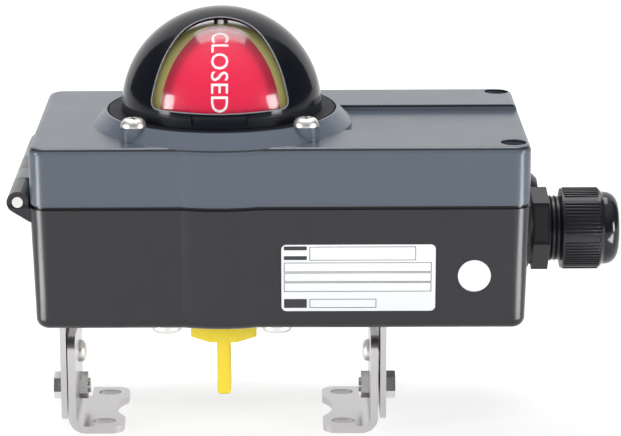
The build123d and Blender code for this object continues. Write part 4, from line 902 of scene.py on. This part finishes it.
@dataclass
class GlandTrim:
    """Thread crests, grip ribs and a near-black plate of painted shade standing for a sunk panel on
    the cable gland.

    Attributes:
        shelf: Finishes.
        axis_y: Gland axis along Y in millimetres.
        axis_z: Gland axis height above the soles.
        thread_start: First bare thread next to the hexagon.
        crest_pitch: Distance between crests.
        crest_radius: Radius of the crests.
        crest_half: Half the width of a crest at its root.
        crest_sink: How far the middle of a crest lies below that radius.
        crest_count: Crests that show.
        rib_count: Places for ribs round the cap nut.
        bands: Plain bands between the groups of ribs.
        band_width: Places that a band takes.
        rib_turn: Direction of the first place, in degrees.
        rib_size: Size of a rib along, round and out from the nut.
        rib_start: Start of the ribs from the inner end of the nut.
        rib_edge: Width of a rib's bevel.
        hexagon_offset: Start of the hexagon from the inner end of the gland body.
        hexagon_length: Length of the hexagon along the axis.
        hexagon_flats: Size across its flats.
        face_angle: Direction of the face that looks forward, from +Y towards +Z.
        panel_width: Sunk panel along the axis.
        panel_height: Sunk panel across the face.
        panel_corner: Radius of its corners.
        panel_depth: Its thickness.
        panel_sink: How far its back lies below the face.
    """

    shelf: FinishShelf
    axis_y: float = 3.0
    axis_z: float = 64.1
    thread_start: float = 109.2
    crest_pitch: float = 1.5
    crest_radius: float = 10.75
    crest_half: float = 0.55
    crest_sink: float = 0.3
    crest_count: int = 3
    rib_count: int = 72
    bands: int = 6
    band_width: int = 2
    rib_turn: float = 28.0
    rib_size: tuple[float, float, float] = (11.6, 0.62, 0.7)
    rib_start: float = 0.7
    rib_edge: float = 0.2
    hexagon_offset: float = 10.6
    hexagon_length: float = 5.5
    hexagon_flats: float = 24.0
    face_angle: float = 158.5
    panel_width: float = 4.3
    panel_height: float = 11.6
    panel_corner: float = 0.4
    panel_depth: float = 0.06
    panel_sink: float = 0.01

    def build_thread(self) -> None:
        """Builds the crests as rings with a sharp edge."""
        rings = []
        for number in range(self.crest_count):
            deselect()
            bpy.ops.mesh.primitive_circle_add(vertices=4, radius=self.crest_half * MM)
            profile = bpy.context.object
            profile.rotation_euler = (math.pi / 2, 0, 0)
            x = self.thread_start + number * self.crest_pitch
            z = self.axis_z + self.crest_radius - self.crest_sink
            profile.location = mm(x, self.axis_y, z)
            settle(profile)
            edit(profile, "EDGE")
            centre = mm(0, self.axis_y, self.axis_z)
            bpy.ops.mesh.spin(steps=72, angle=2 * math.pi, center=centre, axis=(1, 0, 0))
            bpy.ops.mesh.select_all(action="SELECT")
            bpy.ops.mesh.remove_doubles(threshold=0.01 * MM)
            bpy.ops.mesh.normals_make_consistent(inside=False)
            leave_edit()
            rings.append(profile)
        thread = join(rings, "gland_thread")
        self.shelf.dress(thread, "gland_black")
        smooth(thread, 30)
        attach(thread, "base")
        LOG.info("gland thread made")

    def build_ribs(self) -> None:
        """Builds the fine ribs along the cap nut, in groups between plain bands."""
        low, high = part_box("gland_nut")
        size = Vector(mm(*self.rib_size))
        deselect()
        bpy.ops.mesh.primitive_cube_add(size=1.0)
        rib = bpy.context.object
        rib.scale = size
        rib.location = (low[0] + size.x / 2 + self.rib_start * MM, 0, (high[2] - low[2]) / 2)
        settle(rib)
        add_modifier(rib, "BEVEL", width=self.rib_edge * MM, segments=2)
        group = self.rib_count // self.bands
        ribs = []
        for number in range(self.rib_count):
            if number % group < self.band_width:
                continue
            copy = copy_of(rib, f"rib_{number}")
            angle = math.radians(number * 360.0 / self.rib_count + self.rib_turn)
            turn = Matrix.Rotation(angle, 4, "X")
            copy.matrix_world = Matrix.Translation(mm(0, self.axis_y, self.axis_z)) @ turn
            ribs.append(copy)
        bpy.data.objects.remove(rib)
        joined = join(ribs, "gland_ribs")
        settle(joined)
        self.shelf.dress(joined, "gland_black")
        smooth(joined)
        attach(joined, "base")
        LOG.info("gland ribs made")

    def build_panel(self) -> None:
        """Lays a bare, thin near-black plate on the hexagon face that looks forward; its colour is
        painted shade standing for a sunk panel.
        """
        low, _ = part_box("gland_body")
        x = low[0] / MM + self.hexagon_offset + self.hexagon_length / 2
        sizes = (self.panel_width, self.panel_height, self.panel_corner)
        panel = rounded_panel("gland_panel", *sizes)
        thicken(panel, self.panel_depth)
        turn = Matrix.Rotation(math.radians(self.face_angle - 90.0), 4, "X")
        out = Matrix.Translation(mm(0, 0, self.hexagon_flats / 2 - self.panel_sink))
        middle = Matrix.Translation(mm(x, self.axis_y, self.axis_z))
        panel.matrix_world = middle @ turn @ out
        settle(panel)
        self.shelf.dress(panel, "painted_recess_shade")
        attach(panel, "base")
        LOG.info("gland panel made")

    def build(self) -> None:
        """Builds the thread, the ribs and the panel."""
        self.build_thread()
        self.build_ribs()
        self.build_panel()


# ---------------------------------------------------------------- Window edges


@dataclass
class WindowEdges:
    """Thin raised bead round the front and rear windows of the hood; the bead is the window's lip,
    and its grey colour is painted highlight.

    Attributes:
        shelf: Finishes.
        radius: Outside radius of the hood in millimetres.
        centre_z: Height of the hood's centre above the soles.
        half_angle: Half the window's width as an angle at the centre.
        sill: Elevation of the lower edge.
        shoulder: Elevation where the sides end.
        head: Elevation of the top.
        corner: Radius of the lower corners.
        shoulder_radius: Radius between the sides and the head.
        bead: Radius of the bead.
        steps: Points along each side before the corners are rounded.
        corner_steps: Steps in each rounded corner.
    """

    shelf: FinishShelf
    radius: float = 33.0
    centre_z: float = 107.3
    half_angle: float = 43.0
    sill: float = 7.6
    shoulder: float = 50.0
    head: float = 72.7
    corner: float = 4.0
    shoulder_radius: float = 9.0
    bead: float = 0.22
    steps: int = 24
    corner_steps: int = 8

    def flat_point(self, azimuth: float, elevation: float) -> Vector:
        """Point of the hood seen along the window's axis.

        Args:
            azimuth: Angle from the middle of the window, in degrees.
            elevation: Angle above the hood's centre.

        Returns:
            The point in the window's own plane, in millimetres.
        """
        turn, rise = math.radians(azimuth), math.radians(elevation)
        tilt = math.radians((self.sill + self.head) / 2)
        away = self.radius * math.cos(rise) * math.cos(turn)
        across = self.radius * math.cos(rise) * math.sin(turn)
        up = self.radius * math.sin(rise) * math.cos(tilt) - away * math.sin(tilt)
        return Vector((across, up))

    def arc(self, first: Vector, middle: Vector, last: Vector) -> list[Vector]:
        """Points of the circle through three points, without the last one.

        Args:
            first: Start of the arc.
            middle: A point on it.
            last: End of the arc.

        Returns:
            Evenly spaced points.
        """
        (ax, ay), (bx, by), (cx, cy) = first, middle, last
        double = 2 * (ax * (by - cy) + bx * (cy - ay) + cx * (ay - by))
        squares = (ax * ax + ay * ay, bx * bx + by * by, cx * cx + cy * cy)
        centre = Vector((
            (squares[0] * (by - cy) + squares[1] * (cy - ay) + squares[2] * (ay - by)) / double,
            (squares[0] * (cx - bx) + squares[1] * (ax - cx) + squares[2] * (bx - ax)) / double,
        ))
        start = first - centre
        sweep = math.remainder(
            math.atan2(*reversed(last - centre)) - math.atan2(*reversed(start)), math.tau
        )
        points = []
        for number in range(self.steps):
            angle = sweep * number / self.steps
            turned = Vector((
                start.x * math.cos(angle) - start.y * math.sin(angle),
                start.x * math.sin(angle) + start.y * math.cos(angle),
            ))
            points.append(centre + turned)
        return points

    def round_corner(self, points: list[Vector], at: int, radius: float) -> list[Vector]:
        """Cuts one corner of a closed outline with a round curve.

        Args:
            points: The outline.
            at: Index of the corner.
            radius: Radius of the curve.

        Returns:
            The outline with the points near the corner replaced.
        """
        corner = points[at]
        before, after = points[at - 1] - corner, points[(at + 1) % len(points)] - corner
        reach = radius / math.tan(before.angle(after) / 2)
        first = before.normalized() * reach + corner
        last = after.normalized() * reach + corner
        shares = [number / self.corner_steps for number in range(self.corner_steps + 1)]
        curve = [
            first * (1 - share) ** 2 + corner * 2 * share * (1 - share) + last * share**2
            for share in shares
        ]
        others = points[at + 1 :] + points[:at]
        return [point for point in others if (point - corner).length > reach] + curve

    def outline(self) -> list[Vector]:
        """Outline of the window in its own plane.

        Returns:
            Points in millimetres, in order.
        """
        middle = (self.sill + self.shoulder) / 2
        left = [self.flat_point(-self.half_angle, e) for e in (self.sill, middle, self.shoulder)]
        right = [Vector((-point.x, point.y)) for point in left]
        points = self.arc(left[0], self.flat_point(0, self.sill), right[0])
        points += self.arc(right[0], right[1], right[2])
        points += self.arc(right[2], self.flat_point(0, self.head), left[2])
        points += self.arc(left[2], left[1], left[0])
        for corner, radius in (
            (left[0], self.corner),
            (right[0], self.corner),
            (right[2], self.shoulder_radius),
            (left[2], self.shoulder_radius),
        ):
            at = min(range(len(points)), key=lambda index: (points[index] - corner).length)
            points = self.round_corner(points, at, radius)
        return points

    def on_hood(self, point: Vector, facing: int) -> Vector:
        """Carries a point of the window's plane out to the hood's surface.

        Args:
            point: Point in millimetres.
            facing: -1 for the front window, 1 for the rear one.

        Returns:
            The place in metres.
        """
        tilt = math.radians((self.sill + self.head) / 2)
        depth = math.sqrt(self.radius**2 - point.length_squared)
        away = depth * math.cos(tilt) - point.y * math.sin(tilt)
        up = depth * math.sin(tilt) + point.y * math.cos(tilt)
        return Vector(mm(-facing * point.x, facing * away, self.centre_z + up))

    def build(self) -> None:
        """Builds the bead of each window."""
        outline = self.outline()
        for facing, name in ((-1, "front"), (1, "rear")):
            deselect()
            bpy.ops.mesh.primitive_circle_add(vertices=len(outline), radius=MM)
            bead = bpy.context.object
            bead.name = f"window_lip_highlight_{name}"
            for vertex, point in zip(bead.data.vertices, outline):
                vertex.co = self.on_hood(point, facing)
            bpy.ops.object.convert(target="CURVE")
            bead = bpy.context.object
            bead.data.bevel_depth = self.bead * MM
            bead.data.bevel_resolution = 2
            bpy.ops.object.convert(target="MESH")
            bead = bpy.context.object
            bead.name = f"window_lip_highlight_{name}"
            # The bead's grey is painted highlight on the hood's black window lip.
            self.shelf.dress(bead, "window_lip_highlight")
            smooth(bead, 60)
            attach(bead, "lid")
            LOG.info("bead of the %s window made", name)


# ---------------------------------------------------------------- Small screws


class Drive(Enum):
    """Recess in the head of a screw."""

    CROSS = "cross"
    HEXAGON = "hexagon"


@dataclass(frozen=True)
class DomedScrew:
    """One domed screw, built about the origin with its head above z = 0.

    Attributes:
        head_radius: Radius of the head in millimetres.
        head_height: Height of the head.
        shank_radius: Radius of the shank.
        shank_length: Length of the shank.
        drive: Recess in the head.
        dome: Share of the head's height that is rounded.
        hexagon_share: Radius of a hexagon recess as a share of the head's radius.
        cross_share: Length and width of a cross recess's slots, as such shares.
    """

    head_radius: float
    head_height: float
    shank_radius: float
    shank_length: float
    drive: Drive
    dome: float = 0.9
    hexagon_share: float = 0.55
    cross_share: tuple[float, float] = (1.1, 0.22)

    def cutters(self) -> list[Piece]:
        """Shapes to cut the recess with.

        Returns:
            Closed meshes that reach through the top of the head.
        """
        top = mm(0, 0, self.head_height)
        if self.drive is Drive.HEXAGON:
            deselect()
            bpy.ops.mesh.primitive_cylinder_add(
                vertices=6,
                radius=self.head_radius * self.hexagon_share * MM,
                depth=self.head_height * 1.2 * MM,
                location=top,
            )
            settle(bpy.context.object)
            return [bpy.context.object]
        slots = []
        for angle in (0.0, math.pi / 2):
            deselect()
            bpy.ops.mesh.primitive_cube_add(size=1.0)
            slot = bpy.context.object
            slot.scale = mm(
                *(self.head_radius * share for share in self.cross_share), self.head_height
            )
            slot.rotation_euler = (0, 0, angle)
            slot.location = top
            settle(slot)
            slots.append(slot)
        return slots

    def pick_end(self, screw: Piece, side: int) -> None:
        """Enters edit mode with one flat end selected.

        Args:
            screw: The plain cylinder, with its shank or without.
            side: -1 for the lower end, 1 for the upper one.
        """
        edit(screw)
        bpy.ops.mesh.select_all(action="DESELECT")
        leave_edit()
        for polygon in screw.data.polygons:
            polygon.select = side * polygon.normal.z > 0.9 and len(polygon.vertices) > 4
        bpy.ops.object.mode_set(mode="EDIT")

    def build(self) -> Piece:
        """Builds the screw.

        Returns:
            The screw.
        """
        deselect()
        bpy.ops.mesh.primitive_cylinder_add(
            vertices=40,
            radius=self.head_radius * MM,
            depth=self.head_height * MM,
            location=mm(0, 0, self.head_height / 2),
        )
        screw = bpy.context.object
        settle(screw)
        self.pick_end(screw, -1)
        bpy.ops.mesh.inset(thickness=(self.head_radius - self.shank_radius) * MM)
        drop = {"value": (0, 0, -self.shank_length * MM)}
        bpy.ops.mesh.extrude_region_move(TRANSFORM_OT_translate=drop)
        leave_edit()
        self.pick_end(screw, 1)
        bpy.ops.mesh.bevel(offset=self.head_height * self.dome * MM, segments=8)
        leave_edit()
        for cutter in self.cutters():
            add_modifier(screw, "BOOLEAN", object=cutter, operation="DIFFERENCE", solver="EXACT")
            bpy.data.objects.remove(cutter)
        return screw


@dataclass
class SmallScrews:
    """Domed screws in place of the plain ones on the hood, under the box and on the feet.

    Attributes:
        shelf: Finishes.
        hood_screw: Screw on the hood's flange.
        hood_spacing: Side of the square that the hood screws stand on, in millimetres.
        hood_seat: Height of the hood screws' seat above the soles.
        hood_turns: How far each of them is turned, in degrees.
        box_screw: Screw under the box.
        box_spacing: Spacing of the screws under the box, along and across.
        box_seat: Height of their seat.
        foot_screw: Screw in a foot's leg.
        foot_seat: Inner face of the feet's legs from the shaft axis.
        foot_height: Height of the screws in the feet.
    """

    shelf: FinishShelf
    hood_screw: DomedScrew = DomedScrew(4.1, 2.6, 1.9, 8.4, Drive.CROSS)
    hood_spacing: float = 55.4
    hood_seat: float = 106.8
    hood_turns: tuple[float, ...] = (20.0, 65.0, 5.0, 40.0)
    box_screw: DomedScrew = DomedScrew(5.0, 2.8, 3.0, 10.0, Drive.HEXAGON, 0.5)
    box_spacing: tuple[float, float] = (36.0, 49.0)
    box_seat: float = 40.0
    foot_screw: DomedScrew = DomedScrew(3.8, 2.2, 1.95, 5.3, Drive.CROSS)
    foot_seat: float = 48.95
    foot_height: float = 22.4

    def place(
        self, screw: DomedScrew, places: list[Matrix], names: tuple[str, str], body: str
    ) -> None:
        """Puts a set of equal screws in for a CAD node.

        Args:
            screw: The screw.
            places: Where each copy goes, in metres.
            names: Name of the set, and the node that it stands for.
            body: Body that it rides on.
        """
        pattern = screw.build()
        copies = []
        for number, place in enumerate(places):
            copy = copy_of(pattern, f"{names[0]}_{number}")
            copy.matrix_world = place
            settle(copy)
            copies.append(copy)
        bpy.data.objects.remove(pattern)
        joined = join(copies, names[0])
        self.shelf.dress(joined, "screw_satin")
        smooth(joined)
        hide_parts(names[1])
        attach(joined, body)
        LOG.info("%s made", names[0])

    def build(self) -> None:
        """Builds the three sets."""
        corners = [(x, y) for x in (-1, 1) for y in (-1, 1)]
        half = self.hood_spacing / 2
        hood = [
            Matrix.Translation(mm(x * half, y * half, self.hood_seat))
            @ Matrix.Rotation(math.radians(turn), 4, "Z")
            for (x, y), turn in zip(corners, self.hood_turns)
        ]
        self.place(self.hood_screw, hood, ("hood_screw_heads", "hood_screws"), "lid")
        along, across = self.box_spacing
        under = [
            Matrix.Translation(mm(x * along / 2, y * across / 2, self.box_seat))
            @ Matrix.Rotation(math.pi, 4, "X")
            for x, y in corners
        ]
        self.place(self.box_screw, under, ("box_screw_heads", "box_screws"), "base")
        feet = [
            Matrix.Translation(mm(side * self.foot_seat, 0, self.foot_height))
            @ Matrix.Rotation(-side * math.pi / 2, 4, "Y")
            for side in (-1, 1)
        ]
        self.place(self.foot_screw, feet, ("foot_screw_heads", "foot_button_screws"), "base")


# ---------------------------------------------------------------- Studio


@dataclass(frozen=True)
class Lamp:
    """A rectangular lamp that looks at the object.

    Attributes:
        name: Name of the lamp.
        place: Where it hangs, in metres.
        size: Its width and height in metres.
        power: Power in watts.
        aim: Point that it looks at, in metres.
    """

    name: str
    place: tuple[float, float, float]
    size: tuple[float, float]
    power: float
    aim: tuple[float, float, float] = (0.02, 0.0, 0.08)

    def hang(self) -> Piece:
        """Hangs the lamp.

        Returns:
            The lamp's object.
        """
        data = bpy.data.lights.new(self.name, "AREA")
        data.shape = "RECTANGLE"
        data.size, data.size_y = self.size
        data.energy = self.power
        lamp = bpy.data.objects.new(self.name, data)
        lamp.location = self.place
        aim = Vector(self.aim) - Vector(self.place)
        lamp.rotation_euler = aim.to_track_quat("-Z", "Y").to_euler()
        bpy.context.scene.collection.objects.link(lamp)
        return lamp


@dataclass
class Studio:
    """Floor, backdrop, lamps and camera.

    Attributes:
        floor_size: Side of the floor in metres.
        floor_white: The floor's lift and how much light it throws back.
        backdrop_white: The same of the backdrop.
        camera_mm: Place of the camera in millimetres.
        pitch: How far it looks down, in degrees.
        yaw: How far it looks to the right of +Y.
        roll: How far it leans.
        lens: Focal length for a 36 mm wide sensor.
        shift: Shift of the lens, in sensor widths.
        sky: Strength of the even light from all round.
        dark_side: How bright the room all round is in glossy surfaces.
        zenith: How bright the ceiling is in them.
        ceiling: Heights between which the room turns bright, from 0 to 1.
        lamps: Lamps that glossy surfaces show.
        fill: Lamp in front that they don't show.
        glint: Low strip that only glossy edges show, laid out on each side.
        glint_angle: The strips' direction from the front, in degrees.
        glint_distance: Their middle's distance in metres.
    """

    floor_size: float = 6.0
    floor_white: tuple[float, float] = (0.72, 0.45)
    backdrop_white: tuple[float, float] = (1.0, 0.15)
    camera_mm: tuple[float, float, float] = (22.76, -879.6, 305.2)
    pitch: float = 14.81
    yaw: float = -1.24
    roll: float = -0.53
    lens: float = 158.1
    shift: tuple[float, float] = (0.1233, -0.018)
    sky: float = 0.42
    dark_side: float = 0.12
    zenith: float = 0.8
    ceiling: tuple[float, float] = (0.45, 0.95)
    lamps: tuple[Lamp, ...] = (
        Lamp("overhead_lamp", (0.0, 0.42, 1.1), (0.8, 0.6), 7.5),
        Lamp("left_lamp", (-1.36, -0.6, 0.27), (0.34, 0.5), 11.0),
        Lamp("right_lamp", (1.36, -0.6, 0.27), (0.34, 0.5), 11.0),
    )
    fill: Lamp = Lamp("front_lamp", (0.0, -1.45, 0.4), (0.7, 0.5), 7.0)
    glint: Lamp = Lamp("glint", (0.02, 0.0, 0.004), (0.11, 0.34), 1.8)
    glint_angle: float = 58.0
    glint_distance: float = 0.36

    def white(self, name: str, lift: float, matt: float) -> Material:
        """Makes a pale matt surface that reads as white behind the object.

        Args:
            name: Name of the material.
            lift: Extra brightness that only eyes and mirrors see.
            matt: How much light the surface throws back.

        Returns:
            The material.
        """
        material = bpy.data.materials.new(name)
        material.use_nodes = True
        bench = NodeBench(material.node_tree)
        rays = bench.add("LightPath").outputs
        seen = bench.maths("MAXIMUM", rays["Is Camera Ray"], rays["Is Glossy Ray"])
        seen = bench.maths("MAXIMUM", seen, rays["Is Transmission Ray"])
        bench.feed(bench.tree.nodes["Principled BSDF"], {
            "Base Color": (matt, matt, matt, 1.0),
            "Roughness": 0.9,
            "Specular IOR Level": 0.0,
            "Emission Color": (1.0, 1.0, 1.0, 1.0),
            "Emission Strength": bench.maths("MULTIPLY", seen, lift),
        })
        return material

    def build_set(self) -> None:
        """Builds the floor and the backdrop."""
        deselect()
        bpy.ops.mesh.primitive_plane_add(size=self.floor_size)
        floor = bpy.context.object
        floor.name = "floor"
        floor.data.materials.append(self.white("floor_white", *self.floor_white))
        deselect()
        bpy.ops.mesh.primitive_plane_add(size=self.floor_size)
        backdrop = bpy.context.object
        backdrop.name = "backdrop"
        backdrop.rotation_euler = (math.pi / 2, 0, 0)
        backdrop.location = (0, self.floor_size / 2, self.floor_size / 2)
        settle(backdrop)
        backdrop.data.materials.append(self.white("backdrop_white", *self.backdrop_white))

    def build_world(self) -> None:
        """Sets the sky: white to the eye, even for matt surfaces, and a room for glossy ones."""
        world = bpy.data.worlds.new("studio")
        world.use_nodes = True
        bench = NodeBench(world.node_tree)
        place = bench.add("TexCoord").outputs["Generated"]
        height = bench.add("SeparateXYZ", {"Vector": place}).outputs["Z"]
        room = bench.ramp(height, self.ceiling, (self.dark_side, self.zenith), "SMOOTHSTEP")
        rays = bench.add("LightPath").outputs
        matt = bench.maths("MULTIPLY", rays["Is Diffuse Ray"], self.sky)
        shiny = bench.maths("MULTIPLY", rays["Is Glossy Ray"], room)
        seen = bench.maths("MAXIMUM", rays["Is Camera Ray"], rays["Is Transmission Ray"])
        total = bench.maths("MAXIMUM", seen, bench.maths("MAXIMUM", matt, shiny))
        background = bench.tree.nodes["Background"]
        bench.feed(background, {"Color": (1.0, 1.0, 1.0, 1.0), "Strength": total})
        bpy.context.scene.world = world

    def build_light(self) -> None:
        """Sets the sky, the lamps and the strips."""
        self.build_world()
        for lamp in self.lamps:
            lamp.hang()
        fill = self.fill.hang()
        fill.visible_glossy = False
        fill.visible_transmission = False
        for side, name in ((-1, "left_glint"), (1, "right_glint")):
            self.lay_glint(name, side)

    def lay_glint(self, name: str, side: int) -> None:
        """Lays a strip of light beside the object that only glossy edges show.

        Args:
            name: Name of the strip.
            side: -1 for the left, 1 for the right.
        """
        strip = self.glint.hang()
        strip.name = name
        azimuth = math.radians(self.glint_angle)
        away = Vector((side * math.sin(azimuth), -math.cos(azimuth), 0.0)) * self.glint_distance
        strip.location = Vector(self.glint.place) + away
        strip.rotation_euler = (math.pi, 0.0, side * azimuth)
        strip.visible_camera = False
        strip.visible_diffuse = False
        strip.visible_transmission = False

    def build_camera(self) -> None:
        """Sets the camera."""
        data = bpy.data.cameras.new("camera")
        data.sensor_width = 36.0
        data.lens = self.lens
        data.shift_x, data.shift_y = self.shift
        data.clip_start = 0.01
        data.clip_end = 50.0
        camera = bpy.data.objects.new("camera", data)
        pitch, yaw, roll = (math.radians(angle) for angle in (self.pitch, self.yaw, self.roll))
        forward = Vector(
            (math.sin(yaw) * math.cos(pitch), math.cos(yaw) * math.cos(pitch), -math.sin(pitch))
        )
        level = forward.cross(Vector((0, 0, 1))).normalized()
        above = level.cross(forward).normalized()
        right = level * math.cos(roll) + above * math.sin(roll)
        up = above * math.cos(roll) - level * math.sin(roll)
        turn = Matrix((right, up, -forward)).transposed().to_4x4()
        camera.matrix_world = Matrix.Translation(mm(*self.camera_mm)) @ turn
        bpy.context.scene.collection.objects.link(camera)
        bpy.context.scene.camera = camera

    def build(self) -> None:
        """Builds the whole studio."""
        self.build_camera()
        self.build_set()
        self.build_light()
        bpy.context.scene.view_settings.view_transform = "Standard"


def main() -> None:
    """Builds every class in order."""
    logging.basicConfig(level=logging.INFO, format="%(name)s: %(message)s")
    shelf = FinishShelf()
    Studio().build()
    shelf.dress_nodes()
    FrontPlates(shelf).build()
    IndicatorWords(shelf).build()
    GlandTrim(shelf).build()
    WindowEdges(shelf).build()
    SmallScrews(shelf).build()


if __name__ == "__main__":
    main()
